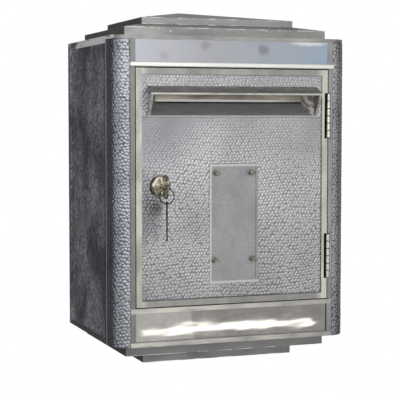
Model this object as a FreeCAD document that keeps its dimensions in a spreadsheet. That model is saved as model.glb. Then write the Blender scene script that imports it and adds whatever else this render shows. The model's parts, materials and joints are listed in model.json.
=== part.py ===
"""Wall mounted letter box in cast and sheet aluminium, as an assembly of separate pieces.

Frame: X to the right, Y into the wall, Z up, millimetres. The origin is the middle of the four
wall holes on the back face, so the wall is the plane Y = 0 and the door faces -Y.
"""
import FreeCAD, Part
import operator
import os
import Sketcher

Vector = FreeCAD.Vector

DIMENSIONS = {
    # casing
    "width": 360.0,
    "height": 440.0,
    "depth": 252.0,
    "plate": 5.0,
    "corner_radius": 24.0,
    "moulding_wall": 3.0,
    "moulding_depth": 40.0,
    "moulding_flange": 24.0,
    "moulding_flange_inset": 2.4,
    "moulding_tongue": 20.0,
    "bead_width": 4.0,
    "bead_relief": 0.8,
    "sheet_wall": 2.0,
    "side_inset": 1.6,
    "side_rail": 10.0,
    "floor_rail": 6.5,
    "floor_neck_play": 1.0,
    "back_wall": 3.0,
    "rim_depth": 12.0,
    "rivet_flange": 22.0,
    "wall_hole_radius": 3.5,
    "wall_hole_across": 240.0,
    "wall_hole_up": 320.0,
    "side_rivet_pitch": 130.0,
    "side_rivet_inset": 19.0,
    "side_rivet_radius": 1.9,
    "side_rivet_head": 3.23,
    "side_rivet_head_height": 1.33,
    "side_rivet_tail": 2.85,
    "side_rivet_tail_height": 1.14,
    # stepped roof and base
    "roof_lower_half": 156.0,
    "roof_lower_setback": 27.5,
    "roof_lower_rise": 13.3,
    "roof_lower_slope": 7.0,
    "roof_upper_half": 119.0,
    "roof_upper_setback": 63.0,
    "roof_upper_rise": 9.5,
    "roof_hip_rise": 21.4,
    "roof_gap_to_wall": 12.0,
    "step_wall": 3.0,
    "base_upper_half": 155.0,
    "base_upper_setback": 29.0,
    "base_upper_drop": 17.0,
    "base_lower_half": 118.0,
    "base_lower_setback": 65.0,
    "base_lower_drop": 17.6,
    "step_screw_radius": 2.5,
    "step_screw_head": 4.75,
    "step_screw_across": 82.6,
    "step_screw_front": 151.2,
    "step_screw_rear": 50.4,
    # front frame
    "frame_half": 156.3,
    "frame_wall": 5.0,
    "opening_half": 149.3,
    "opening_floor": 55.4,
    "opening_top": 395.8,
    "jamb_wall": 3.0,
    "jamb_depth": 22.0,
    "hinge_boss_inner": 151.0,
    "hinge_boss_depth": 15.0,
    "hinge_notch_inner": 143.2,
    "hinge_notch_outer": 152.8,
    "hinge_notch_play": 0.8,
    "ledge_height": 6.9,
    "ledge_relief": 3.0,
    "ledge_round": 1.8,
    "header_half": 148.3,
    "header_floor": 403.2,
    "header_top": 434.4,
    "header_setback": 1.2,
    "panel_wall": 1.2,
    "recess_half": 148.4,
    "recess_floor": 7.4,
    "recess_top": 48.4,
    "recess_setback": 2.6,
    "frame_screw_radius": 2.0,
    "frame_screw_head": 3.6,
    "frame_screw_end": 2.0,
    "frame_screw_depth": 18.5,
    "frame_screw_pitch": 100.0,
    # door
    "door_half": 148.0,
    "door_floor": 56.8,
    "door_top": 394.4,
    "door_wall": 3.0,
    "border": 8.6,
    "border_relief": 2.5,
    "door_flange": 14.0,
    "door_flange_inset": 1.0,
    "slot_play_side": 0.9,
    "slot_play_floor": 0.3,
    "slot_play_top": 1.5,
    # letter slot
    "hood_half": 131.0,
    "hood_top": 370.0,
    "hood_floor": 326.0,
    "hood_lip": 359.5,
    "hood_reach": 17.0,
    "sill_front": 327.8,
    "sill_back": 345.5,
    "throat_half": 113.5,
    "throat_top": 364.0,
    "throat_depth": 18.0,
    "mouth_half": 127.0,
    "mouth_top": 366.8,
    "hood_lip_wall": 2.4,
    "hood_toe": 0.6,
    "hood_lip_step": 0.5,
    "funnel_flange": 9.0,
    "funnel_flange_lift": 1.0,
    "funnel_plug_side": 0.6,
    "funnel_plug_top": 1.2,
    "funnel_wall": 2.0,
    "funnel_screw_radius": 1.5,
    "funnel_screw_head": 2.85,
    "funnel_screw_across": 119.38,
    "flap_play": 0.6,
    "flap_tube_wall": 1.2,
    "ear_wall": 3.0,
    "flap_pin_radius": 1.25,
    "flap_wall": 1.2,
    "flap_bar_radius": 1.4,
    "flap_bar_rise": 3.08,
    # notice plate
    "notice_half": 37.8,
    "notice_floor": 86.5,
    "notice_top": 258.2,
    "notice_rim": 3.4,
    "notice_relief": 1.8,
    "notice_wall": 0.8,
    "notice_upper_spread": 27.0,
    "notice_lower_spread": 29.5,
    "notice_upper_row": 246.0,
    "notice_lower_row": 120.2,
    "notice_head_radius": 4.1,
    "notice_head_height": 7.5,
    "notice_shank_radius": 2.0,
    "notice_shank_length": 10.0,
    "notice_slot_half": 0.5,
    "notice_slot_depth": 1.2,
    "notice_nut_height": 3.2,
    # hinges
    "hinge_across": 149.0,
    "hinge_proud": 1.0,
    "hinge_upper": 327.4,
    "hinge_lower": 120.2,
    "hinge_length": 65.0,
    "knuckle_radius": 2.75,
    "knuckle_gap": 0.3,
    "knuckle_clearance": 0.5,
    "pin_radius": 1.4,
    "pin_clearance": 0.06,
    "pin_overhang": 0.4,
    "leaf_wall": 1.2,
    "leaf_rivet_radius": 1.5,
    "leaf_rivet_head": 2.7,
    "leaf_rivet_head_height": 0.9,
    "leaf_rivet_pitch": 23.4,
    # lock and keys
    "lock_across": 112.2,
    "lock_up": 228.3,
    "rosette_radius": 15.3,
    "rosette_rise": 6.0,
    "rosette_round": 4.8,
    "barrel_radius": 9.5,
    "barrel_length": 30.0,
    "barrel_proud": 0.5,
    "lock_nut_radius": 13.775,
    "lock_nut_height": 4.0,
    "plug_radius": 6.4,
    "plug_clearance": 0.05,
    "plug_proud": 0.8,
    "plug_overrun": 0.6,
    "tail_half": 3.52,
    "cam_length": 43.0,
    "cam_width": 14.0,
    "cam_wall": 2.5,
    "cam_round": 6.3,
    "cam_screw_radius": 1.6,
    "cam_screw_head": 3.84,
    "cam_screw_head_height": 2.0,
    "cam_screw_grip": 2.0,
    "key_wall": 2.2,
    "blade_width": 7.0,
    "blade_length": 34.0,
    "blade_in_plug": 26.0,
    "keyway_play": 0.2,
    "keyway_side_play": 0.15,
    "keyway_end_play": 0.5,
    "bow_width": 34.0,
    "bow_reach": 22.0,
    "bow_round": 10.5,
    "bow_hole_radius": 3.2,
    "bow_hole_inset": 5.5,
    "ring_radius": 10.5,
    "ring_wire_radius": 0.8,
    "ring_play": 0.3,
    "spare_twist": -19.0,
}
KNUCKLES = 6
ROW_OF_FOUR = (-1.5, -0.5, 0.5, 1.5)
LOFT_SLOPE = 0.85          # share of the outer slope that the space under a roof tier has
LOFT_INSET = 0.9           # share of the wall kept round the top of that space
OVERRUN = 1                # how far a cut or an overlap runs past what it meets
SIDES = {"left": -1, "right": 1}
UP = Vector(0, 0, 1)


class Size:
    """A length that carries the spreadsheet formula it is worked out by."""

    def __init__(self, value, formula):
        self.value = value
        self.formula = formula

    def __add__(self, other):
        return combine(self, "+", other)

    def __sub__(self, other):
        return combine(self, "-", other)

    def __mul__(self, other):
        return combine(self, "*", other)

    def __truediv__(self, other):
        return combine(self, "/", other)

    def __neg__(self):
        return combine(self, "*", -1)


OPERATORS = {"+": operator.add, "-": operator.sub, "*": operator.mul, "/": operator.truediv}


def sized(number):
    if isinstance(number, Size):
        return number
    return Size(float(number), f"({number})")


def combine(first, sign, second):
    first, second = sized(first), sized(second)
    value = OPERATORS[sign](first.value, second.value)
    return Size(value, f"({first.formula} {sign} {second.formula})")


# ---------------------------------------------------------------- document and its sheet

doc = FreeCAD.newDocument("wall_letter_box")
sheet = doc.addObject("Spreadsheet::Sheet", "Dims")
for row, (alias, millimetres) in enumerate(DIMENSIONS.items(), start=1):
    sheet.set(f"A{row}", alias)
    sheet.set(f"B{row}", str(millimetres))
    sheet.setAlias(f"B{row}", alias)
doc.recompute()


class D:
    """Every driving dimension by name: D.width is the cell aliased width."""


for alias, millimetres in DIMENSIONS.items():
    setattr(D, alias, Size(millimetres, f"Dims.{alias}"))

SIDE = D.width / 2
FLOOR = -D.height / 2
ROOF = D.height / 2
PLATE_UNDERSIDE = ROOF - D.plate
RIM_WALL = D.side_inset + D.sheet_wall * 2
PIECES = []


def behind_front(distance):
    """Y of a plane this far behind the flat front of the casing."""
    return distance - D.depth


def above_floor(distance):
    """Z of a level this far above the underside of the casing."""
    return distance - D.height / 2


FRONT = -D.depth
FIELD = behind_front(D.border_relief)
DOOR_BACK = FIELD + D.door_wall
REAR = -D.roof_gap_to_wall


# ---------------------------------------------------------------- building blocks

PLANES = {"X": "YZ_Plane", "Y": "XZ_Plane", "Z": "XY_Plane"}
TURNS = {
    "X": FreeCAD.Rotation(Vector(0, 1, 0), 90),
    "Y": FreeCAD.Rotation(Vector(1, 0, 0), -90),
    "Z": FreeCAD.Rotation(),
}


def drive(item, prop, size):
    item.setExpression(prop, sized(size).formula)


def piece(item, label):
    """Registers a finished sub-part under the name of its file."""
    item.Label = label
    PIECES.append(item)
    return item


def new_body(label):
    body = doc.addObject("PartDesign::Body", label)
    return piece(body, label)


def pin_vertex(sketch, shape_index, end, across, up):
    """Holds one sketch point at signed distances from the sketch origin."""
    for kind, size, axis in (("DistanceX", across, -2), ("DistanceY", up, -1)):
        size = sized(size)
        if abs(size.value) < 1e-9:
            sketch.addConstraint(Sketcher.Constraint("PointOnObject", shape_index, end, axis))
            continue
        index = sketch.addConstraint(Sketcher.Constraint(kind, -1, 1, shape_index, end, size.value))
        drive(sketch, f"Constraints[{index}]", size)


def draw_polygon(sketch, corners):
    points = [Vector(sized(a).value, sized(b).value, 0) for a, b in corners]
    first = sketch.GeometryCount
    count = len(points)
    for index in range(count):
        sketch.addGeometry(Part.LineSegment(points[index], points[(index + 1) % count]))
    for index in range(count):
        following = first + (index + 1) % count
        sketch.addConstraint(Sketcher.Constraint("Coincident", first + index, 2, following, 1))
        pin_vertex(sketch, first + index, 1, *corners[index])


def draw_circle(sketch, across, up, radius):
    centre = Vector(sized(across).value, sized(up).value, 0)
    index = sketch.addGeometry(Part.Circle(centre, UP, radius.value))
    size = sketch.addConstraint(Sketcher.Constraint("Radius", index, radius.value))
    drive(sketch, f"Constraints[{size}]", radius)
    pin_vertex(sketch, index, 3, across, up)


def rectangle(left, bottom, right, top):
    return [(left, bottom), (right, bottom), (right, top), (left, top)]


def sketch_across(body, axis, level, outlines):
    """A sketch square to a row axis at a level along it.

    An outline is a list of corners, or a (across, up, radius) circle.
    """
    role = PLANES[axis]
    sketch = body.newObject("Sketcher::SketchObject", f"{body.Name}_outline")
    sketch.AttachmentSupport = (next(f for f in body.Origin.OriginFeatures if f.Role == role), "")
    sketch.MapMode = "FlatFace"
    drive(sketch, "AttachmentOffset.Base.z", -level if axis == "Y" else level)
    for outline in outlines:
        if isinstance(outline, tuple):
            draw_circle(sketch, *outline)
        else:
            draw_polygon(sketch, outline)
    return sketch


def add(body, axis, start, length, *outlines):
    """Pads outlines from start towards the positive row axis."""
    pad = body.newObject("PartDesign::Pad", f"{body.Name}_pad")
    pad.Profile = sketch_across(body, axis, sized(start), outlines)
    drive(pad, "Length", length)
    pad.Reversed = axis == "Y"
    doc.recompute()
    return pad


def remove(body, axis, start, length, *outlines):
    """Pockets outlines from start towards the positive row axis."""
    before = body.Shape.Volume
    pocket = body.newObject("PartDesign::Pocket", f"{body.Name}_pocket")
    pocket.Profile = sketch_across(body, axis, sized(start), outlines)
    drive(pocket, "Length", length)
    pocket.Reversed = axis != "Y"
    doc.recompute()
    if not body.Shape.Volume < before - 1e-6:
        raise RuntimeError(f"a pocket of {body.Label} cuts nothing")
    return pocket


def soften(body, radius, wanted, kind="Fillet"):
    """Rounds, or chamfers, the edges of a body that the test picks out."""
    base = body.Tip
    names = [f"Edge{number}" for number, edge in enumerate(base.Shape.Edges, start=1) if wanted(edge)]
    if not names:
        raise RuntimeError(f"no edge of {body.Label} to soften")
    feature = body.newObject(f"PartDesign::{kind}", f"{body.Name}_{kind.lower()}")
    feature.Base = (base, names)
    drive(feature, "Radius" if kind == "Fillet" else "Size", radius)
    doc.recompute()
    return feature


def upright(edge, across, depth):
    """True for a vertical edge at this X and Y."""
    box = edge.BoundBox
    return box.ZLength > 1 and abs(box.XMin - across.value) < 0.01 > abs(box.XMax - across.value) \
        and abs(box.YMin - depth.value) < 0.01 > abs(box.YMax - depth.value)


def place(item, axis, base):
    item.Placement.Rotation = TURNS[axis]
    for name, size in zip("xyz", base):
        drive(item, f"Placement.Base.{name}", size)
    return item


def rod(axis, radius, start, length, across, up):
    """A cylinder along a row axis; across and up are the other two coordinates in X, Y, Z order."""
    item = doc.addObject("Part::Cylinder", "rod")
    drive(item, "Radius", radius)
    drive(item, "Height", length)
    base = {"X": (start, across, up), "Y": (across, start, up), "Z": (across, up, start)}[axis]
    return place(item, axis, base)


def hexagon(axis, radius, start, length, across, up):
    item = doc.addObject("Part::Prism", "hexagon")
    item.Polygon = 6
    drive(item, "Circumradius", radius)
    drive(item, "Height", length)
    base = {"X": (start, across, up), "Y": (across, start, up), "Z": (across, up, start)}[axis]
    return place(item, axis, base)


def block(low, high):
    item = doc.addObject("Part::Box", "block")
    for prop, start, end in zip(("Length", "Width", "Height"), low, high):
        drive(item, prop, sized(end) - start)
    return place(item, "Z", low)


def wedge(low, high, top_low, top_high):
    """A block whose top face is a smaller rectangle: low and high in X, Y, Z, the top in X, Y."""
    item = doc.addObject("Part::Wedge", "wedge")
    # the wedge tapers along its own Y, which stands up as Z once turned; its Z then runs to -Y
    sizes = {
        "Xmin": low[0], "Xmax": high[0], "X2min": top_low[0], "X2max": top_high[0],
        "Ymin": 0, "Ymax": high[2] - low[2],
        "Zmin": -high[1], "Zmax": -low[1], "Z2min": -top_high[1], "Z2max": -top_low[1],
    }
    for prop, size in sizes.items():
        drive(item, prop, size)
    item.Placement.Rotation = FreeCAD.Rotation(Vector(1, 0, 0), 90)
    drive(item, "Placement.Base.z", low[2])
    return item


def fused(*items):
    item = doc.addObject("Part::MultiFuse", "fused")
    item.Shapes = list(items)
    item.Refine = True
    return item


def carved(base, *tools):
    item = doc.addObject("Part::Cut", "carved")
    item.Base = base
    item.Tool = tools[0] if len(tools) == 1 else fused(*tools)
    item.Refine = True
    return item


def grouped(label, items):
    item = doc.addObject("Part::Compound", label)
    item.Links = list(items)
    return piece(item, label)


def mirrored_pairs(half, *rows):
    return [(half * side, row) for row in rows for side in SIDES.values()]


# ---------------------------------------------------------------- casing

def make_back_plate():
    body = new_body("back_plate")
    add(body, "Y", -D.back_wall, D.back_wall, rectangle(-SIDE, FLOOR, SIDE, PLATE_UNDERSIDE))
    rim_bore = rectangle(RIM_WALL - SIDE, FLOOR + RIM_WALL, SIDE - RIM_WALL, PLATE_UNDERSIDE - RIM_WALL)
    add(body, "Y", -D.rim_depth, D.rim_depth - D.back_wall,
        rectangle(-SIDE, FLOOR, SIDE, PLATE_UNDERSIDE), rim_bore)
    flanges = [
        rectangle((SIDE - RIM_WALL) * side, FLOOR + D.floor_rail,
                  (SIDE - RIM_WALL + D.sheet_wall) * side, ROOF - D.side_rail)
        for side in SIDES.values()
    ]
    reach = D.rim_depth + D.rivet_flange
    add(body, "Y", -reach, D.rivet_flange + OVERRUN, *flanges)
    holes = [(x, z, D.wall_hole_radius)
             for x, z in mirrored_pairs(D.wall_hole_across / 2, -D.wall_hole_up / 2, D.wall_hole_up / 2)]
    remove(body, "Y", -D.rim_depth, D.rim_depth, *holes)
    pierce_for_side_rivets(body, SIDE - RIM_WALL - OVERRUN, RIM_WALL)


def side_rivet_rows():
    return [above_floor(D.height / 2 + D.side_rivet_pitch * step) for step in ROW_OF_FOUR]


def pierce_for_side_rivets(body, inner, thickness, sides=SIDES.values()):
    holes = [(-D.side_rivet_inset, row, D.side_rivet_radius) for row in side_rivet_rows()]
    for side in sides:
        start = inner if side > 0 else -inner - thickness
        remove(body, "X", start, thickness, *holes)


def make_side_panel(name, side):
    body = new_body(f"side_panel_{name}")
    outer = SIDE - D.side_inset
    start = outer - D.sheet_wall if side > 0 else -outer
    outline = rectangle(behind_front(D.moulding_depth), FLOOR + D.floor_rail,
                        -D.rim_depth, ROOF - D.side_rail)
    add(body, "X", start, D.sheet_wall, outline)
    pierce_for_side_rivets(body, outer - D.sheet_wall, D.sheet_wall, [side])


def make_side_rivets(name, side):
    """Domed rivets from the rivet flange out through the panel."""
    rivets = []
    inner = SIDE - RIM_WALL
    shank = D.sheet_wall * 2
    for row in side_rivet_rows():
        parts = []
        for radius, start, length in (
            (D.side_rivet_radius, inner, shank),
            (D.side_rivet_head, inner + shank, D.side_rivet_head_height),
            (D.side_rivet_tail, inner - D.side_rivet_tail_height, D.side_rivet_tail_height),
        ):
            first = start if side > 0 else -start - length
            parts.append(rod("X", radius, first, length, -D.side_rivet_inset, row))
        rivets.append(fused(*parts))
    grouped(f"side_rivets_{name}", rivets)


def make_corner_moulding(name, side):
    """Hammered corner: a rounded angle with a seam bead, a screw flange and a closed foot."""
    body = new_body(f"corner_moulding_{name}")
    spare = D.frame_half - D.moulding_wall * 2
    rear = behind_front(D.moulding_depth)
    inner_side, inner_front = SIDE - D.moulding_wall, FRONT + D.moulding_wall
    angle = [(SIDE, FRONT), (SIDE, rear), (inner_side, rear), (inner_side, inner_front),
             (spare, inner_front), (spare, FRONT)]
    add(body, "Z", FLOOR, D.height - D.plate, [(x * side, y) for x, y in angle])
    foot = rectangle(spare * side, FRONT, SIDE * side, rear)
    add(body, "Z", FLOOR, D.moulding_wall, foot)
    soften(body, D.corner_radius, lambda edge: upright(edge, SIDE * side, FRONT))
    soften(body, D.corner_radius - D.moulding_wall,
           lambda edge: upright(edge, inner_side * side, inner_front))
    beyond = spare - OVERRUN
    remove(body, "Z", FLOOR, D.height,
           rectangle(beyond * side, FRONT - OVERRUN, D.frame_half * side, rear + OVERRUN))
    flange = rectangle(D.frame_half * side, FRONT + D.moulding_flange_inset,
                       (D.frame_half + D.moulding_wall) * side, behind_front(D.moulding_flange))
    add(body, "Z", FLOOR, D.height - D.plate, flange)
    bead = rectangle(inner_side * side, rear - D.bead_width, (SIDE + D.bead_relief) * side, rear)
    add(body, "Z", FLOOR, D.height - D.plate, bead)
    tongue = rectangle((SIDE - RIM_WALL) * side, rear - D.moulding_wall,
                       (SIDE - RIM_WALL + D.sheet_wall) * side, rear + D.moulding_tongue)
    bridge = rectangle((SIDE - RIM_WALL) * side, rear - D.moulding_wall, inner_side * side, rear)
    add(body, "Z", FLOOR + D.floor_rail, D.height - D.floor_rail - D.side_rail, tongue)
    add(body, "Z", FLOOR + D.floor_rail, D.height - D.floor_rail - D.side_rail, bridge)
    holes = [(behind_front(D.frame_screw_depth), row, D.frame_screw_radius) for row in frame_screw_rows()]
    start = D.frame_half if side > 0 else -D.frame_half - D.moulding_wall
    remove(body, "X", start, D.moulding_wall, *holes)


def make_roof_plate():
    body = new_body("roof_plate")
    add(body, "Z", PLATE_UNDERSIDE, D.plate, rectangle(-SIDE, FRONT, SIDE, sized(0)))
    soften(body, D.corner_radius,
           lambda edge: upright(edge, SIDE, FRONT) or upright(edge, -SIDE, FRONT))
    rails = [rectangle(SIDE * side, behind_front(D.moulding_depth),
                       (SIDE - D.sheet_wall) * side, -D.rim_depth)
             for side in SIDES.values()]
    add(body, "Z", ROOF - D.side_rail, D.side_rail - D.plate, *rails)
    remove(body, "Z", PLATE_UNDERSIDE, D.plate, *step_screw_holes())


def make_floor_plate():
    """Floor with upturned side rails; it narrows in front to pass between the corner mouldings."""
    body = new_body("floor_plate")
    neck = D.frame_half - D.floor_neck_play
    shoulder = behind_front(D.moulding_depth)
    outline = [(-neck, behind_front(D.frame_wall)), (neck, behind_front(D.frame_wall)), (neck, shoulder),
               (SIDE, shoulder), (SIDE, -D.rim_depth), (-SIDE, -D.rim_depth), (-SIDE, shoulder),
               (-neck, shoulder)]
    add(body, "Z", FLOOR, D.moulding_wall, outline)
    rails = [rectangle(SIDE * side, shoulder, (SIDE - D.sheet_wall) * side, -D.rim_depth)
             for side in SIDES.values()]
    add(body, "Z", FLOOR, D.floor_rail, *rails)
    remove(body, "Z", FLOOR, D.moulding_wall, *step_screw_holes())


def step_screw_places():
    return mirrored_pairs(D.step_screw_across, -D.step_screw_front, -D.step_screw_rear)


def step_screw_holes():
    return [(x, y, D.step_screw_radius) for x, y in step_screw_places()]


def make_roof_step(label, half, setback, base, rise, top_half, top_low, slope, boss_height, hole_depth):
    """A hollow tier: upright sides, a top that slopes in to a smaller rectangle, and screw bosses."""
    front = behind_front(setback)
    shoulder = base + rise
    sides = block((-half, front, base), (half, REAR, shoulder))
    top = wedge((-half, front, shoulder), (half, REAR, shoulder + slope),
                (-top_half, top_low), (top_half, REAR))
    inset = D.step_wall
    ceiling = shoulder - inset
    hollow = block((inset - half, front + inset, base - OVERRUN), (half - inset, REAR - inset, ceiling))
    loft_half = top_half - inset * LOFT_INSET
    loft_space = wedge((inset - half, front + inset, ceiling),
                       (half - inset, REAR - inset, ceiling + slope * LOFT_SLOPE),
                       (-loft_half, top_low - inset / 2), (loft_half, REAR - inset))
    shell = carved(fused(sides, top), hollow, loft_space)
    bosses = [rod("Z", D.step_screw_radius * 2, base, boss_height, x, y) for x, y in step_screw_places()]
    holes = [rod("Z", D.step_screw_radius, base, hole_depth, x, y) for x, y in step_screw_places()]
    piece(carved(fused(shell, *bosses), *holes), label)


def make_roof_steps():
    rise, slope = D.roof_lower_rise, D.roof_lower_slope
    make_roof_step("roof_lower_step", D.roof_lower_half, D.roof_lower_setback, ROOF, rise,
                   D.roof_upper_half, behind_front(D.roof_upper_setback), slope, rise + slope, rise + slope)
    make_roof_step("roof_upper_step", D.roof_upper_half, D.roof_upper_setback, ROOF + rise + slope,
                   D.roof_upper_rise, D.step_wall, REAR - D.step_wall, D.roof_hip_rise,
                   D.roof_upper_rise + D.step_wall, D.roof_upper_rise - D.step_wall)


def make_base_step(label, half, setback, top, drop, hole_reach):
    """A hollow tray that hangs under the floor, open at the top, with screw bosses."""
    body = new_body(label)
    front, bottom = behind_front(setback), top - drop
    inset = D.step_wall
    add(body, "Z", bottom, drop, rectangle(-half, front, half, REAR))
    islands = [(x, y, D.step_screw_radius * 2) for x, y in step_screw_places()]
    remove(body, "Z", bottom + inset, drop - inset,
           rectangle(inset - half, front + inset, half - inset, REAR - inset), *islands)
    remove(body, "Z", top - hole_reach, hole_reach, *step_screw_holes())


def make_base_steps():
    make_base_step("base_upper_step", D.base_upper_half, D.base_upper_setback, FLOOR,
                   D.base_upper_drop, D.base_upper_drop)
    make_base_step("base_lower_step", D.base_lower_half, D.base_lower_setback, FLOOR - D.base_upper_drop,
                   D.base_lower_drop, D.base_lower_drop - D.step_wall)


def make_step_screws():
    """Long screws from inside the casing, up through the roof steps and down through the base steps."""
    head = D.step_screw_radius
    roof, base = [], []
    roof_length = D.plate + D.roof_lower_rise + D.roof_lower_slope + D.roof_upper_rise - D.step_wall
    base_length = D.moulding_wall + D.base_upper_drop + D.base_lower_drop - D.step_wall * 2
    for x, y in step_screw_places():
        roof.append(fused(rod("Z", D.step_screw_head, PLATE_UNDERSIDE - head, head, x, y),
                          rod("Z", D.step_screw_radius, PLATE_UNDERSIDE - head, head + roof_length, x, y)))
        floor_top = FLOOR + D.moulding_wall
        base.append(fused(rod("Z", D.step_screw_head, floor_top, head, x, y),
                          rod("Z", D.step_screw_radius, floor_top - base_length, head + base_length, x, y)))
    grouped("roof_screws", roof)
    grouped("base_screws", base)


def hinge_levels():
    return {"upper": above_floor(D.hinge_upper), "lower": above_floor(D.hinge_lower)}


def hinge_notch(level, left, right):
    half = D.hinge_length / 2 + D.hinge_notch_play
    return rectangle(left, level - half, right, level + half)


def frame_screw_rows():
    return [above_floor(D.height / 2 + D.frame_screw_pitch * step) for step in ROW_OF_FOUR]


def make_front_frame():
    body = new_body("front_frame")
    wall = D.frame_wall
    opening = rectangle(-D.opening_half, above_floor(D.opening_floor),
                        D.opening_half, above_floor(D.opening_top))
    add(body, "Y", FRONT, wall, rectangle(-D.frame_half, FLOOR, D.frame_half, PLATE_UNDERSIDE), opening)
    recess = rectangle(-D.recess_half, above_floor(D.recess_floor),
                       D.recess_half, above_floor(D.recess_top))
    remove(body, "Y", FRONT, D.recess_setback + D.panel_wall, recess)
    header = rectangle(-D.header_half, above_floor(D.header_floor),
                       D.header_half, above_floor(D.header_top))
    remove(body, "Y", FRONT, D.header_setback + D.panel_wall, header)
    notches = [hinge_notch(level, D.opening_half - OVERRUN, D.hinge_notch_outer)
               for level in hinge_levels().values()]
    remove(body, "Y", FRONT, wall, *notches)
    jambs = [rectangle(D.frame_half * side, above_floor(D.opening_floor),
                       (D.frame_half - D.jamb_wall) * side, above_floor(D.opening_top))
             for side in SIDES.values()]
    add(body, "Y", behind_front(wall), D.jamb_depth - wall, *jambs)
    pads = [rectangle(D.hinge_boss_inner, level - D.hinge_length / 2, D.frame_half - D.jamb_wall,
                      level + D.hinge_length / 2) for level in hinge_levels().values()]
    add(body, "Y", behind_front(wall), D.hinge_boss_depth - wall, *pads)
    holes = [(behind_front(D.frame_screw_depth), row, D.frame_screw_radius) for row in frame_screw_rows()]
    for side in SIDES.values():
        start = D.frame_half - D.jamb_wall if side > 0 else -D.frame_half
        remove(body, "X", start, D.jamb_wall, *holes)
    remove(body, "X", D.hinge_boss_inner, D.frame_half - D.hinge_boss_inner, *leaf_rivet_holes())


def make_front_panels():
    """Polished header band and lower panel, each bedded in its recess, and the ledge bar between."""
    header = new_body("header_panel")
    add(header, "Y", behind_front(D.header_setback), D.panel_wall,
        rectangle(-D.header_half, above_floor(D.header_floor), D.header_half, above_floor(D.header_top)))
    lower = new_body("lower_panel")
    add(lower, "Y", behind_front(D.recess_setback), D.panel_wall,
        rectangle(-D.recess_half, above_floor(D.recess_floor), D.recess_half, above_floor(D.recess_top)))
    ledge = new_body("drip_ledge")
    bottom = above_floor(D.opening_top)
    add(ledge, "Y", FRONT - D.ledge_relief, D.ledge_relief,
        rectangle(-D.frame_half, bottom, D.frame_half, bottom + D.ledge_height))
    nose = FRONT - D.ledge_relief
    soften(ledge, D.ledge_round,
           lambda edge: edge.BoundBox.XLength > 10 and abs(edge.BoundBox.YMax - nose.value) < 0.01)


def make_frame_screws():
    """Screws through the jamb flanges of the frame into the flanges of the corner mouldings."""
    screws = []
    head = D.frame_screw_radius
    for side in SIDES.values():
        for row in frame_screw_rows():
            parts = []
            inner = D.frame_half - D.jamb_wall
            for radius, start, length in (
                (D.frame_screw_head, inner - head, head),
                (D.frame_screw_radius, inner - head,
                 head + D.jamb_wall + D.moulding_wall + D.frame_screw_end),
            ):
                first = start if side > 0 else -start - length
                parts.append(rod("X", radius, first, length, behind_front(D.frame_screw_depth), row))
            screws.append(fused(*parts))
    grouped("frame_screws", screws)


# ---------------------------------------------------------------- door

def make_door_panel():
    body = new_body("door_panel")
    floor, top = above_floor(D.door_floor), above_floor(D.door_top)
    half = D.door_half
    add(body, "Y", FRONT, D.border_relief + D.door_wall, rectangle(-half, floor, half, top))
    remove(body, "Y", FRONT, D.border_relief,
           rectangle(D.border - half, floor + D.border, half - D.border, top - D.border))
    outer = D.door_flange_inset
    inner = outer + D.jamb_wall
    add(body, "Y", DOOR_BACK, D.door_flange - D.border_relief - D.door_wall,
        rectangle(outer - half, floor + outer, half - outer, top - outer),
        rectangle(inner - half, floor + inner, half - inner, top - inner))
    slot_half = D.mouth_half + D.slot_play_side
    slot = rectangle(-slot_half, above_floor(D.sill_front) - D.slot_play_floor,
                     slot_half, above_floor(D.mouth_top) + D.slot_play_top)
    holes = [(x, z, D.notice_shank_radius) for x, z in notice_screw_places()]
    holes.append((-D.lock_across, above_floor(D.lock_up), D.barrel_radius))
    remove(body, "Y", FIELD, D.door_wall, slot, *holes)
    blind = [(x, z, D.funnel_screw_radius) for x, z in funnel_screw_places()]
    remove(body, "Y", DOOR_BACK - D.funnel_wall, D.funnel_wall, *blind)
    notches = [hinge_notch(level, D.hinge_notch_inner, half + OVERRUN) for level in hinge_levels().values()]
    remove(body, "Y", FRONT, D.border_relief + OVERRUN, *notches)
    seats = [rectangle(half - outer, level - D.hinge_length / 2, half + OVERRUN, level + D.hinge_length / 2)
             for level in hinge_levels().values()]
    remove(body, "Y", FRONT, D.border_relief + D.door_wall, *seats)
    remove(body, "X", half - inner, D.jamb_wall, *leaf_rivet_holes())


def notice_screw_places():
    upper = mirrored_pairs(D.notice_upper_spread, above_floor(D.notice_upper_row))
    lower = mirrored_pairs(D.notice_lower_spread, above_floor(D.notice_lower_row))
    return upper + lower


def funnel_screw_places():
    low = above_floor(D.sill_front) - D.funnel_flange / 2
    high = above_floor(D.mouth_top) + D.funnel_flange / 2 + D.funnel_flange_lift
    return [(D.funnel_screw_across * step, z) for z in (low, high) for step in (-1, 0, 1)]


def make_slot_hood():
    """Visor over the letter slot: a sloping roof, two cheeks that taper downwards and a toe strip."""
    body = new_body("slot_hood")
    top, floor, lip = above_floor(D.hood_top), above_floor(D.hood_floor), above_floor(D.hood_lip)
    nose = FRONT - D.hood_reach
    cheek = [(FIELD, top), (nose, lip), (nose, lip - D.hood_lip_wall), (FRONT - D.hood_toe, floor),
             (FIELD, floor)]
    add(body, "X", -D.hood_half, D.hood_half * 2, cheek)
    sill, mouth_top = above_floor(D.sill_front), above_floor(D.mouth_top)
    behind, before = FIELD + OVERRUN, nose - OVERRUN
    inside = [(behind, sill), (behind, mouth_top), (FIELD, mouth_top),
              (before, lip - D.hood_lip_wall - D.hood_lip_step), (before, sill)]
    remove(body, "X", -D.mouth_half, D.mouth_half * 2, inside)


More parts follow.
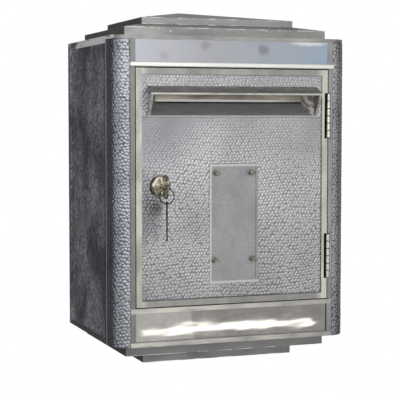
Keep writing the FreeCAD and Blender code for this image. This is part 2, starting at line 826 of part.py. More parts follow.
def make_slot_funnel():
    """Chute behind the visor: it narrows and climbs to the throat, and carries the flap's pin."""
    body = new_body("slot_funnel")
    rear = behind_front(D.throat_depth)
    wall = D.funnel_wall
    sill, mouth_top = above_floor(D.sill_front), above_floor(D.mouth_top)
    throat_floor, throat_top = above_floor(D.sill_back), above_floor(D.throat_top)
    plug_half, flange_half = D.mouth_half + D.funnel_plug_side, D.mouth_half + D.funnel_flange
    plug = rectangle(-plug_half, sill, plug_half, mouth_top + D.funnel_plug_top)
    flange = rectangle(-flange_half, sill - D.funnel_flange,
                       flange_half, mouth_top + D.funnel_flange + D.funnel_flange_lift)
    add(body, "Y", FIELD, D.door_wall + wall, plug)
    add(body, "Y", DOOR_BACK, wall, flange)
    outer_half = D.throat_half + wall * 2
    outer = rectangle(-outer_half, throat_floor - wall, outer_half, throat_top + wall)
    loft(body, "AdditiveLoft", (DOOR_BACK + wall, plug), (rear, outer))
    throat = rectangle(-D.throat_half, throat_floor, D.throat_half, throat_top)
    mouth = rectangle(-D.mouth_half, sill, D.mouth_half, mouth_top)
    loft(body, "SubtractiveLoft", (FIELD, mouth), (rear, throat))
    pin_y, pin_z = flap_axis()
    ears = [rectangle((D.throat_half + wall) * side, throat_floor,
                      (D.throat_half + wall + D.ear_wall) * side, pin_z + D.ear_wall)
            for side in SIDES.values()]
    add(body, "Y", rear - OVERRUN, D.ear_wall * 2 + OVERRUN, *ears)
    remove(body, "X", -SIDE, D.width, (pin_y, pin_z, D.flap_pin_radius))
    holes = [(x, z, D.funnel_screw_radius) for x, z in funnel_screw_places()]
    remove(body, "Y", DOOR_BACK, wall, *holes)


def loft(body, kind, first, last):
    before = body.Shape.Volume
    sections = [sketch_across(body, "Y", level, [outline]) for level, outline in (first, last)]
    doc.recompute()
    feature = body.newObject(f"PartDesign::{kind}", f"{body.Name}_loft")
    feature.Profile = sections[0]
    feature.Sections = [sections[1]]
    feature.Ruled = True
    doc.recompute()
    if abs(body.Shape.Volume - before) < 1e-6:
        raise RuntimeError(f"a loft of {body.Label} changes nothing")


def flap_axis():
    """Y and Z of the flap's pin, behind the top of the throat."""
    tube = D.flap_pin_radius + D.flap_tube_wall
    return behind_front(D.throat_depth + D.flap_play) + tube, above_floor(D.throat_top) + tube


def make_slot_flap():
    """Thin flap that hangs on its pin behind the throat, with a rolled lower edge."""
    pin_y, pin_z = flap_axis()
    half = D.throat_half + OVERRUN
    tube = D.flap_pin_radius + D.flap_tube_wall
    face = pin_y - tube
    bar_z = above_floor(D.sill_back) + D.flap_bar_rise
    sheet_part = block((-half, face, bar_z), (half, face + D.flap_wall, pin_z))
    roll = rod("X", D.flap_bar_radius, -half, half * 2, face + D.flap_bar_radius, bar_z)
    barrel = rod("X", tube, -half, half * 2, pin_y, pin_z)
    bore_start, bore_length = -half - OVERRUN, (half + OVERRUN) * 2
    bore = rod("X", D.flap_pin_radius + D.pin_clearance, bore_start, bore_length, pin_y, pin_z)
    piece(carved(fused(sheet_part, roll, barrel), bore), "slot_flap")
    reach = D.throat_half + D.funnel_wall + D.ear_wall + OVERRUN
    piece(rod("X", D.flap_pin_radius, -reach, reach * 2, pin_y, pin_z), "flap_pin")


def make_funnel_screws():
    screws = []
    rear = DOOR_BACK + D.funnel_wall
    head, grip = D.funnel_screw_radius, D.funnel_wall * 2
    for x, z in funnel_screw_places():
        screws.append(fused(rod("Y", D.funnel_screw_head, rear, head, x, z),
                            rod("Y", D.funnel_screw_radius, rear - grip, grip + OVERRUN, x, z)))
    grouped("funnel_screws", screws)


def make_notice_plate():
    """Blank plate with a raised rim on the middle of the door."""
    body = new_body("notice_plate")
    floor, top = above_floor(D.notice_floor), above_floor(D.notice_top)
    half, rim = D.notice_half, D.notice_rim
    face = FIELD - D.notice_relief
    add(body, "Y", face, D.notice_relief, rectangle(-half, floor, half, top))
    remove(body, "Y", face, D.notice_relief - D.notice_wall,
           rectangle(rim - half, floor + rim, half - rim, top - rim))
    remove(body, "Y", face, D.notice_relief,
           *[(x, z, D.notice_shank_radius) for x, z in notice_screw_places()])


def make_notice_fasteners():
    """Tall cheese-head screws through the notice plate and the door, with nuts inside."""
    screws, nuts = [], []
    seat = FIELD - D.notice_wall
    thread = D.notice_shank_length
    for x, z in notice_screw_places():
        head = rod("Y", D.notice_head_radius, seat - D.notice_head_height, D.notice_head_height, x, z)
        face = seat - D.notice_head_height
        slot = block((x - D.notice_head_radius, face, z - D.notice_slot_half),
                     (x + D.notice_head_radius, face + D.notice_slot_depth, z + D.notice_slot_half))
        shank = rod("Y", D.notice_shank_radius, seat - OVERRUN, thread, x, z)
        screws.append(fused(carved(head, slot), shank))
        nut = hexagon("Y", D.notice_head_radius, DOOR_BACK, D.notice_nut_height, x, z)
        bore = rod("Y", D.notice_shank_radius, DOOR_BACK - OVERRUN, thread, x, z)
        nuts.append(carved(nut, bore))
    grouped("notice_screws", screws)
    grouped("notice_nuts", nuts)


# ---------------------------------------------------------------- hinges

def hinge_axis_y():
    return FRONT - D.hinge_proud


def leaf_rivet_rows(level):
    return [level + D.leaf_rivet_pitch * step for step in (-1, 0, 1)]


def leaf_rivet_y():
    return behind_front(D.door_flange - D.leaf_rivet_radius * 2)


def leaf_rivet_holes():
    return [(leaf_rivet_y(), row, D.leaf_rivet_radius)
            for level in hinge_levels().values() for row in leaf_rivet_rows(level)]


def knuckle_spans(level, first):
    """Lowest Z of every second knuckle of a hinge, counted from the bottom."""
    pitch = D.hinge_length / KNUCKLES
    start = level - D.hinge_length / 2
    return [start + pitch * number + D.knuckle_gap / 2 for number in range(first, KNUCKLES, 2)]


def make_hinge_leaf(label, level, plane_x, first_knuckle, bore_radius):
    """Butt leaf: a plate behind the barrel and every second knuckle round the pin."""
    axis_y = hinge_axis_y()
    low, high = level - D.hinge_length / 2, level + D.hinge_length / 2
    clear = axis_y + D.knuckle_radius + D.knuckle_clearance
    parts = [block((plane_x, clear, low), (plane_x + D.leaf_wall, behind_front(D.door_flange), high))]
    length = D.hinge_length / KNUCKLES - D.knuckle_gap
    for start in knuckle_spans(level, first_knuckle):
        parts.append(block((plane_x, axis_y, start), (plane_x + D.leaf_wall, clear, start + length)))
        parts.append(rod("Z", D.knuckle_radius, start, length, D.hinge_across, axis_y))
    cuts = [rod("Z", bore_radius, low - OVERRUN, D.hinge_length + OVERRUN * 2, D.hinge_across, axis_y)]
    for row in leaf_rivet_rows(level):
        cuts.append(rod("X", D.leaf_rivet_radius, plane_x - OVERRUN, D.leaf_wall + OVERRUN * 2,
                        leaf_rivet_y(), row))
    piece(carved(fused(*parts), *cuts), label)


def make_hinges():
    door_leaf = D.door_half - D.door_flange_inset
    frame_leaf = D.hinge_boss_inner - D.leaf_wall
    for name, level in hinge_levels().items():
        make_hinge_leaf(f"{name}_hinge_frame_leaf", level, frame_leaf, 0, D.pin_radius)
        make_hinge_leaf(f"{name}_hinge_door_leaf", level, door_leaf, 1, D.pin_radius + D.pin_clearance)
        start = level - D.hinge_length / 2
        pin = rod("Z", D.pin_radius, start - D.pin_overhang, D.hinge_length + D.pin_overhang * 2,
                  D.hinge_across, hinge_axis_y())
        piece(pin, f"{name}_hinge_pin")
    make_leaf_rivets("hinge_frame_rivets", frame_leaf, D.frame_half, 1)
    make_leaf_rivets("hinge_door_rivets", door_leaf + D.leaf_wall, door_leaf - D.jamb_wall, -1)


def make_leaf_rivets(label, flush_x, far_x, towards):
    """Rivets flush with the leaf on one side, with a low head behind the flange on the other."""
    rivets = []
    head = D.leaf_rivet_head_height
    for level in hinge_levels().values():
        for row in leaf_rivet_rows(level):
            shank_start, shank = (flush_x, far_x - flush_x) if towards > 0 else (far_x, flush_x - far_x)
            parts = [rod("X", D.leaf_rivet_radius, shank_start, shank, leaf_rivet_y(), row)]
            if towards < 0:
                parts.append(rod("X", D.leaf_rivet_head, far_x - head, head, leaf_rivet_y(), row))
            rivets.append(fused(*parts) if len(parts) > 1 else parts[0])
    grouped(label, rivets)


# ---------------------------------------------------------------- lock and keys

def lock_rod(radius, start, length):
    return rod("Y", radius, start, length, -D.lock_across, above_floor(D.lock_up))


def make_lock_case():
    face = FIELD - D.rosette_rise
    disc = doc.addObject("Part::Cylinder", "disc")
    drive(disc, "Radius", D.rosette_radius)
    drive(disc, "Height", D.rosette_rise)
    place(disc, "Y", (-D.lock_across, face, above_floor(D.lock_up)))
    doc.recompute()
    dome = doc.addObject("Part::Fillet", "dome")
    dome.Base = disc
    rim = next(number for number, edge in enumerate(disc.Shape.Edges, start=1)
               if edge.BoundBox.YLength < 0.01 and abs(edge.BoundBox.YMax - face.value) < 0.01)
    dome.Edges = [(rim, D.rosette_round.value, D.rosette_round.value)]
    hole = lock_rod(D.barrel_radius, face - OVERRUN, D.rosette_rise + OVERRUN * 2)
    piece(carved(dome, hole), "lock_rosette")
    tube = lock_rod(D.barrel_radius, face - D.barrel_proud, D.barrel_length)
    bore = lock_rod(D.plug_radius + D.plug_clearance, face - OVERRUN, D.barrel_length + OVERRUN * 2)
    piece(carved(tube, bore), "lock_barrel")
    nut = hexagon("Y", D.lock_nut_radius, DOOR_BACK, D.lock_nut_height,
                  -D.lock_across, above_floor(D.lock_up))
    thread = lock_rod(D.barrel_radius, DOOR_BACK - OVERRUN, D.lock_nut_height + OVERRUN * 2)
    piece(carved(nut, thread), "lock_nut")


def plug_face():
    """Y of the plug's face, a little proud of the rosette."""
    return FIELD - D.rosette_rise - D.plug_proud


def make_lock_core():
    """Plug with its keyway and square tail, the cam on the tail and the screw that holds it."""
    x, z = -D.lock_across, above_floor(D.lock_up)
    face = plug_face()
    rear = face + D.barrel_length + D.plug_overrun
    slot_half, slot_side = D.blade_width / 2 + D.keyway_play, D.key_wall / 2 + D.keyway_side_play
    tail = D.tail_half
    keyway = block((x - slot_side, face - OVERRUN, z - slot_half),
                   (x + slot_side, face + D.blade_in_plug + D.keyway_end_play, z + slot_half))
    square = block((x - tail, rear - OVERRUN, z - tail), (x + tail, rear + D.cam_wall, z + tail))
    core = fused(lock_rod(D.plug_radius, face, D.barrel_length + D.plug_overrun), square)
    screw_start, screw_length = rear - D.cam_screw_grip, D.cam_screw_grip + D.cam_wall
    screw_hole = lock_rod(D.cam_screw_radius, screw_start, screw_length + OVERRUN)
    piece(carved(core, keyway, screw_hole), "lock_plug")
    cam_body = new_body("lock_cam")
    half = D.cam_width / 2
    add(cam_body, "Y", rear, D.cam_wall, rectangle(x - half, z - half, x + half, z + D.cam_length - half),
        rectangle(x - tail, z - tail, x + tail, z + tail))
    soften(cam_body, D.cam_round, lambda edge: edge.BoundBox.YLength > 1
           and abs(abs(edge.BoundBox.Center.x - x.value) - half.value) < 0.01)
    piece(fused(lock_rod(D.cam_screw_head, rear + D.cam_wall, D.cam_screw_head_height),
                lock_rod(D.cam_screw_radius, screw_start, screw_length + OVERRUN)), "cam_screw")


def make_key(label):
    """Flat key drawn in its own frame: blade along +Y, bow towards -Y, hole near the bow's end."""
    body = new_body(label)
    half_wall = D.key_wall / 2
    half_bow = D.bow_width / 2
    bow = rectangle(-D.bow_reach, -half_bow, sized(0), half_bow)
    add(body, "X", -half_wall, D.key_wall, bow)
    soften(body, D.bow_round, lambda edge: edge.BoundBox.XLength > 1)
    blade = rectangle(-D.bow_reach / 4, -D.blade_width / 2, D.blade_length, D.blade_width / 2)
    add(body, "X", -half_wall, D.key_wall, blade)
    tip = D.blade_width / 3
    soften(body, tip, lambda edge: edge.BoundBox.XLength > 1
           and abs(edge.BoundBox.YMax - D.blade_length.value) < 0.01, "Chamfer")
    hole_y = D.bow_hole_inset - D.bow_reach
    remove(body, "X", -half_wall, D.key_wall, (hole_y, sized(0), D.bow_hole_radius))
    return body


def ring_levels():
    """Z of the ring's centre, and of the spare key's hole, hanging from the first key's hole."""
    slack = D.bow_hole_radius - D.ring_wire_radius - D.ring_play
    wire_top = above_floor(D.lock_up) - slack
    centre = wire_top - D.ring_radius
    return centre, centre - D.ring_radius - slack


def make_keys():
    shoulder = plug_face() + D.blade_in_plug - D.blade_length
    hole_y = shoulder + D.bow_hole_inset - D.bow_reach
    ring_z, spare_z = ring_levels()
    key = make_key("door_key")
    place(key, "Z", (-D.lock_across, shoulder, above_floor(D.lock_up)))
    ring = doc.addObject("Part::Torus", "key_ring")
    drive(ring, "Radius1", D.ring_radius)
    drive(ring, "Radius2", D.ring_wire_radius)
    place(ring, "Y", (-D.lock_across, hole_y, ring_z))
    piece(ring, "key_ring")
    spare = make_key("spare_key")
    drop = D.bow_reach - D.bow_hole_inset
    place(spare, "Z", (-D.lock_across, hole_y, spare_z - drop))
    blade_down = FreeCAD.Rotation(Vector(1, 0, 0), -90)
    spare.Placement.Rotation = FreeCAD.Rotation(UP, D.spare_twist.value) * blade_down


# ---------------------------------------------------------------- build, check and write

def build():
    make_back_plate()
    for name, side in SIDES.items():
        make_side_panel(name, side)
        make_side_rivets(name, side)
        make_corner_moulding(name, side)
    make_roof_plate()
    make_roof_steps()
    make_floor_plate()
    make_base_steps()
    make_step_screws()
    make_front_frame()
    make_front_panels()
    make_frame_screws()
    make_door_panel()
    make_slot_hood()
    make_slot_funnel()
    make_slot_flap()
    make_funnel_screws()
    make_notice_plate()
    make_notice_fasteners()
    make_hinges()
    make_lock_case()
    make_lock_core()
    make_keys()


def check():
    doc.recompute()
    for item in doc.Objects:
        if "Invalid" in item.State or "Error" in item.State:
            raise RuntimeError(f"{item.Label} did not recompute: {item.State}")
    for item in PIECES:
        if item.Shape.isNull() or not item.Shape.isValid() or not item.Shape.Solids:
            raise RuntimeError(f"{item.Label} has no valid solid")


def write():
    os.makedirs("parts", exist_ok=True)
    for item in PIECES:
        item.Shape.exportStep(os.path.join("parts", f"{item.Label}.step"))
        box = item.Shape.BoundBox
        sides = f"X {box.XMin:.1f}..{box.XMax:.1f} Y {box.YMin:.1f}..{box.YMax:.1f}"
        print(f"{item.Label:26s} {len(item.Shape.Solids)} solid(s) {item.Shape.Volume / 1000:9.2f} cm3 "
              f"{sides} Z {box.ZMin:.1f}..{box.ZMax:.1f}")


build()
check()
write()
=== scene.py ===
"""Wall mounted mailbox in hammered cast aluminium: the looks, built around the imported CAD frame."""

import json
from math import cos, pi, radians, sin, sqrt

import bmesh
import bpy
import numpy as np
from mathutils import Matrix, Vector


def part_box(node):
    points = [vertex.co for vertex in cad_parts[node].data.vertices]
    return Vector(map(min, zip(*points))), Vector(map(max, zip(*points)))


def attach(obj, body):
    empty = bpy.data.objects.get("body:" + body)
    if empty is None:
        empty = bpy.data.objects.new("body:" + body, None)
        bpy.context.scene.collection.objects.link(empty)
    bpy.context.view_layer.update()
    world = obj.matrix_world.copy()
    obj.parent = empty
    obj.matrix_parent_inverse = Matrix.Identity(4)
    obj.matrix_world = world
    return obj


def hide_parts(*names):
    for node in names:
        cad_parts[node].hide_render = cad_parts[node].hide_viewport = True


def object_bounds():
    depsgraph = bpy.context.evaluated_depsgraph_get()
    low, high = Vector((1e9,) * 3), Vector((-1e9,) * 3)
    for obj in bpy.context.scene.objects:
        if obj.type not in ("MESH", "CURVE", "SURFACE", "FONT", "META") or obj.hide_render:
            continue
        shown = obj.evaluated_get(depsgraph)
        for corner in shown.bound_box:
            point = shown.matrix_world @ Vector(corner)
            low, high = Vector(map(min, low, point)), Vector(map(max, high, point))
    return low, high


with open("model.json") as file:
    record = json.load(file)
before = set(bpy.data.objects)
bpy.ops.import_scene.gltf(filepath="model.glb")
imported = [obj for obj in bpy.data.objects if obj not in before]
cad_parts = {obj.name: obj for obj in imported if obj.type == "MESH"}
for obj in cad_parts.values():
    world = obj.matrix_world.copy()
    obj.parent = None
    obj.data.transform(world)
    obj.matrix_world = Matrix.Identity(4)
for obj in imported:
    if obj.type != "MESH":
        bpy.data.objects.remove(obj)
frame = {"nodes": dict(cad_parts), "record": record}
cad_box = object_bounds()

MM = 0.001

# Sizes in metres. Places on the object come from the frame's boxes or are measured from its middle line.
DOOR_CELL = 4.9 * MM             # spacing of the hammer marks on the door
CORNER_CELL = 5.2 * MM           # spacing of the hammer marks on the corner mouldings
DOOR_RELIEF = 0.9 * MM           # height of the hammer marks on the door
CORNER_RELIEF = 0.72 * MM        # height of the hammer marks on the corner mouldings
RELIEF_BASE = 0.06 * MM          # how far the lowest hammer marks stand off the CAD surface
GRID = 1.05 * MM                 # mesh spacing under the hammering
SKIN_DEPTH = 0.9 * MM            # how deep each relief skin reaches into the wall behind it
BORDER = 8.6 * MM                # plain border round the door
BORDER_RISE = 2.5 * MM           # height of that border over the hammered field
CORNER_RADIUS = 24 * MM          # rounding of the corner mouldings
BEAD = 4 * MM                    # seam bead at the rear edge of each corner moulding
BEAD_RISE = 0.8 * MM             # how far that bead stands proud
CORNER_LAP = 20 * MM             # how far each corner moulding runs on behind the side sheet
LOCK_BORE = 8 * MM               # half the square that is left out of the hammered field behind the lock
WAVE_GRID = 1.5 * MM             # mesh spacing of the polished panels
PANEL_WAVE = 0.007 * MM          # height of the waves in the polished panels
LOWER_ROOF_SLOPE = 7 * MM        # height of the sloping top of the lower roof step
UPPER_ROOF_HIP = 21.4 * MM       # height of the hipped top of the upper roof step
LIP_HEIGHT = 31 * MM             # height of the underside of the slot hood's lip over the hood's foot
KNUCKLE_PITCH = 65 / 6 * MM      # six knuckles along each hinge
EDGE_ROUND = 0.35 * MM           # softened edges on castings and sheets
FIXING_ROUND = 0.12 * MM         # softened edges on fixings, lock, keys and hinges
EDGE_WEAR_AND_HIGHLIGHT = 0.7 * MM             # half the width of the bright band along an edge, partly wear and partly a painted highlight
SCUFF = 4 * MM                   # how far in from the sides the top plate is scuffed
NOTICE_RIM = 3.4 * MM            # raised rim of the notice plate
CREASE = radians(50)             # edges sharper than this stay crisp in the pieces that replace CAD nodes
SMALL_SLOTS = ("steel_fixings", "lock_nickel", "key_steel")     # slots with edges softened like fixings
SEED = 11                        # start of the random draws

CAMERA_PLACE = (-0.6806, -1.9523, 0.1053)
CAMERA_TILT = radians(90 - 3.72)
CAMERA_TURN = radians(-20.27)
CAMERA_LENS, CAMERA_SENSOR = 114.54, 36     # millimetres, as Blender takes them


# ---------------------------------------------------------------- materials

def linear(red, green, blue):
    """A colour given in display values of 0 to 255, as the linear values that shaders take."""
    def one(value):
        value /= 255
        return value / 12.92 if value <= 0.04045 else ((value + 0.055) / 1.055) ** 2.4
    return (one(red), one(green), one(blue), 1.0)


class Finish:
    """A procedural material: a Principled shader and the nodes that feed it, in object coordinates."""

    def __init__(self, name, metallic=1.0):
        self.material = bpy.data.materials.new(name)
        self.material.use_nodes = True
        self.tree = self.material.node_tree
        self.shader = self.tree.nodes["Principled BSDF"]
        self.metallic(metallic)
        self.place = self.node("ShaderNodeTexCoord").outputs["Object"]

    def node(self, kind, inputs=None, **settings):
        made = self.tree.nodes.new(kind)
        for name, value in settings.items():
            setattr(made, name, value)
        for socket, value in (inputs or {}).items():
            self.feed(made.inputs[socket], value)
        return made

    def feed(self, socket, value):
        if isinstance(value, bpy.types.NodeSocket):
            self.tree.links.new(value, socket)
        else:
            socket.default_value = value

    def noise(self, size, detail=3.0, along=(1, 1, 1), offset=(0, 0, 0), distortion=0.0):
        """Cloudy values around a half, with features about size metres across.
        They are drawn out in each direction where along is below 1."""
        mapping = {"Vector": self.place, "Scale": along, "Location": offset}
        stretched = self.node("ShaderNodeMapping", mapping).outputs[0]
        inputs = {"Vector": stretched, "Scale": 1 / size, "Detail": detail, "Distortion": distortion}
        return self.node("ShaderNodeTexNoise", inputs).outputs["Fac"]

    def span(self, value, low, high, out_low=0.0, out_high=1.0):
        """Value from low to high, carried over to out_low to out_high and held there."""
        inputs = {"Value": value, "From Min": low, "From Max": high,
                  "To Min": out_low, "To Max": out_high}
        return self.node("ShaderNodeMapRange", inputs).outputs["Result"]

    def maths(self, operation, *values):
        return self.node("ShaderNodeMath", dict(enumerate(values)), operation=operation).outputs[0]

    def mixed(self, share, first, second):
        node = self.node("ShaderNodeMix", {0: share}, data_type="RGBA")
        self.feed(node.inputs[6], first)
        self.feed(node.inputs[7], second)
        return node.outputs[2]

    def axis(self, letter):
        return self.node("ShaderNodeSeparateXYZ", {0: self.place}).outputs[letter]

    def band(self, letter, low, high, soft=0.5 * MM):
        """One inside a stretch of an axis and zero outside it."""
        along = self.axis(letter)
        rising = self.span(along, low - soft, low + soft)
        falling = self.span(along, high - soft, high + soft, 1.0, 0.0)
        return self.maths("MULTIPLY", rising, falling)

    def either(self, *shares):
        """The greatest of several shares."""
        most = shares[0]
        for share in shares[1:]:
            most = self.maths("MAXIMUM", most, share)
        return most

    def spot(self, x, z, wide, tall, ragged=0.0):
        """A soft oval on the front: one in its middle and zero outside."""
        across = self.maths("DIVIDE", self.maths("SUBTRACT", self.axis("X"), x), wide)
        up = self.maths("DIVIDE", self.maths("SUBTRACT", self.axis("Z"), z), tall)
        squares = self.maths("ADD", self.maths("MULTIPLY", across, across), self.maths("MULTIPLY", up, up))
        out = self.maths("SQRT", squares)
        if ragged:
            wander = self.span(self.noise(7 * MM, 2.0), 0.3, 0.7, -ragged, ragged)
            out = self.maths("ADD", out, wander)
        return self.span(out, 0.5, 1.1, 1.0, 0.0)

    def relief(self):
        """How high a point is in the hammering: zero in a valley and one on a crown."""
        return self.node("ShaderNodeAttribute", attribute_name="relief").outputs["Fac"]

    def scratches(self, size, along, amount=0.5):
        """Thin marks, mostly along one direction: one on a mark and zero elsewhere."""
        return self.span(self.noise(size, 2.0, along), 0.60, 0.68, 0.0, amount)

    def colour(self, value):
        self.feed(self.shader.inputs["Base Color"], value)

    def roughness(self, value):
        self.feed(self.shader.inputs["Roughness"], value)

    def metallic(self, value):
        self.feed(self.shader.inputs["Metallic"], value)

    def bumps(self, *layers):
        """Layers of (height, depth in metres), laid over each other."""
        normal = None
        for height, depth in layers:
            inputs = {"Height": height, "Distance": depth}
            if normal is not None:
                inputs["Normal"] = normal
            normal = self.node("ShaderNodeBump", inputs).outputs["Normal"]
        self.feed(self.shader.inputs["Normal"], normal)


def hammered_finish(name, dark, light, rough):
    """Hammered aluminium: lighter on the crowns and darker in the valleys, a painted highlight and painted
    shade with some dirt in the valleys.
    Its colour is kept as tone, so that a caller can lay more over it."""
    finish = Finish(name)
    relief = finish.relief()
    cloud = finish.noise(60 * MM)
    grain = finish.noise(0.9 * MM, 2.0)
    height = finish.maths("ADD", finish.span(relief, 0.0, 0.7), finish.span(cloud, 0.35, 0.7, -0.15, 0.15))
    # painted highlight on the crowns and painted shade in the valleys, with some dirt there: the tone follows
    # the height of the relief
    finish.tone = finish.mixed(finish.span(height, 0.0, 1.0), dark, light)
    finish.colour(finish.tone)
    finish.roughness(finish.maths("ADD", finish.span(relief, 0.1, 0.9, rough + 0.16, rough),
                                  finish.span(grain, 0.3, 0.7, -0.04, 0.04)))
    finish.bumps((grain, 0.03 * MM))
    return finish


def corner_finish():
    """Hammered corner mouldings, with a painted highlight in chalky white along the crown of their seam
    beads.
    """
    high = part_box("corner_moulding_left")[1]
    finish = hammered_finish("hammered_aluminium", linear(84, 86, 92), linear(178, 180, 185), 0.25)
    bead_end = high.y - CORNER_LAP
    # painted highlight along the crown of the seam bead
    crown = finish.band("Y", bead_end - 0.75 * BEAD, bead_end - 0.25 * BEAD, 0.4 * MM)
    finish.colour(finish.mixed(crown, finish.tone, linear(236, 237, 242)))
    finish.metallic(finish.span(crown, 0.0, 1.0, 1.0, 0.3))
    return finish.material


def door_finish():
    """Hammered door field: painted lighter towards the top, with painted shadow beside the hood and beside
    and below the lock.
    """
    low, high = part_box("door_panel")
    lock_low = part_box("lock_rosette")[0]
    finish = hammered_finish("door_aluminium", linear(101, 101, 106), linear(188, 188, 190), 0.27)
    edge = low.x + BORDER
    # painted light: the field is made lighter towards the top
    upper = finish.span(finish.axis("Z"), low.z, high.z, 0.0, 0.44)
    tone = finish.mixed(upper, finish.tone, linear(212, 213, 215))
    hood_low, hood_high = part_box("slot_hood")
    # painted shadow of the lock and keys beside and below the lock, and of the hood beside it
    beside_lock = finish.spot(edge, lock_low.z - 20 * MM, 18 * MM, 62 * MM)
    below_lock = finish.spot(lock_low.x + 4 * MM, lock_low.z - 8 * MM, 20 * MM, 24 * MM)
    below_lock = finish.maths("MULTIPLY", below_lock, 0.6)
    beside_hood = finish.spot(edge, (hood_low.z + hood_high.z) / 2, 14 * MM, 30 * MM)
    dull = finish.maths("MULTIPLY", finish.either(beside_lock, below_lock, beside_hood), 0.5)
    # the field is darkened towards a bluish grey where the painted shadow falls
    finish.colour(finish.mixed(dull, tone, linear(112, 110, 118)))
    return finish.material


def dark_finish():
    """Oxidised sheets: dark with a mottled cast grain and paler clouds, and painted shade along the front
    seam.
    """
    finish = Finish("dark_aluminium", metallic=0.6)
    cloud = finish.noise(55 * MM, 4.0, (1, 1, 0.7), distortion=0.4)
    mottle = finish.noise(7 * MM, 5.0, (1, 1, 0.8))
    grain = finish.noise(2.6 * MM, 3.0)
    tone = finish.mixed(finish.span(cloud, 0.33, 0.66), linear(126, 124, 130), linear(236, 234, 242))
    tone = finish.mixed(finish.span(mottle, 0.42, 0.62, 0.0, 0.55), tone, linear(78, 77, 82))
    tone = finish.mixed(finish.span(grain, 0.45, 0.60, 0.0, 0.75), tone, linear(60, 59, 64))
    tone = finish.mixed(finish.scratches(5 * MM, (1, 5, 0.6), 0.3), tone, linear(235, 235, 240))
    sheet_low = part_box("side_panel_left")[0]
    # painted shade where the sheet is set in behind the corner moulding, along the front seam
    seam = finish.span(finish.axis("Y"), sheet_low.y + 7 * MM, sheet_low.y + 22 * MM, 0.85, 0.0)
    seam = finish.maths("MULTIPLY", seam, finish.span(mottle, 0.35, 0.6, 1.0, 0.6))
    tone = finish.mixed(seam, tone, linear(22, 22, 24))
    finish.colour(tone)
    finish.roughness(finish.span(cloud, 0.3, 0.7, 0.62, 0.45))
    finish.bumps((grain, 0.5 * MM), (finish.noise(9 * MM, 2.0), 0.3 * MM))
    return finish.material


def roof_finish(name, edges=(), dark=linear(156, 156, 155), light=linear(180, 180, 177), nicked=0.66):
    """Weathered sand castings: grey and brushed level. Where edges are given, stretches of them are bright,
    partly worn and partly a painted highlight, and the casting is nicked, less so the higher nicked is."""
    finish = Finish(name)
    lines = finish.noise(1.2 * MM, 4.0, (0.03, 0.03, 1))
    cloud = finish.noise(30 * MM, 5.0, (0.5, 0.5, 1))
    nicks = finish.span(finish.noise(5 * MM, 6.0, (0.6, 0.6, 1), (5, 0, 1)), nicked, nicked + 0.05)
    tone = finish.mixed(finish.span(cloud, 0.3, 0.7), dark, light)
    tone = finish.mixed(finish.span(lines, 0.3, 0.7, 0.0, 0.4), tone, linear(134, 133, 131))
    if edges:
        tone = finish.mixed(nicks, tone, linear(236, 235, 232))
        dashes = finish.span(finish.noise(16 * MM, 4.0, (1, 1, 0.2), (1, 7, 3)), 0.46, 0.58)
        # stretches along the edges are brightened: partly wear, partly a painted highlight
        worn = finish.either(*[finish.band("Z", level - EDGE_WEAR_AND_HIGHLIGHT, level + EDGE_WEAR_AND_HIGHLIGHT) for level in edges])
        tone = finish.mixed(finish.maths("MULTIPLY", worn, dashes), tone, linear(244, 243, 240))
    finish.colour(tone)
    finish.roughness(finish.span(cloud, 0.3, 0.7, 0.50, 0.40))
    finish.bumps((lines, 0.04 * MM), (finish.noise(4 * MM, 3.0), 0.08 * MM))
    return finish.material


def base_finish(node):
    """Base steps: painted darker than the roof as shade, with the lower edge bright in stretches, partly worn
    and partly a painted highlight.
    """
    lower_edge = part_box(node)[0].z
    # the darker colours are painted shade, as the steps sit lower and get less light
    return roof_finish(node + "_aluminium", (lower_edge,), linear(126, 126, 126), linear(154, 154, 153), 0.78)


def roof_plate_finish():
    """Top plate of the casing: grey like the steps, its sides scuffed to a chalky white."""
    low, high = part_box("roof_plate")
    finish = Finish("roof_plate_aluminium")
    scuffs = finish.span(finish.noise(26 * MM, 6.0, (1, 0.5, 1.6), (0, 2, 5)), 0.34, 0.48)
    sides = finish.either(finish.band("X", low.x - SCUFF, low.x + SCUFF),
                          finish.band("X", high.x - SCUFF, high.x + SCUFF))
    chalky = finish.maths("MULTIPLY", scuffs, sides)
    cloud = finish.noise(12 * MM, 4.0, (0.4, 0.4, 1))
    tone = finish.mixed(finish.span(cloud, 0.3, 0.7), linear(150, 150, 149), linear(186, 186, 183))
    finish.colour(finish.mixed(chalky, tone, linear(252, 251, 247)))
    finish.metallic(finish.span(chalky, 0.0, 1.0, 1.0, 0.0))
    finish.roughness(finish.span(cloud, 0.3, 0.7, 0.5, 0.4))
    finish.bumps((cloud, 0.1 * MM), (scuffs, 0.05 * MM))
    return finish.material


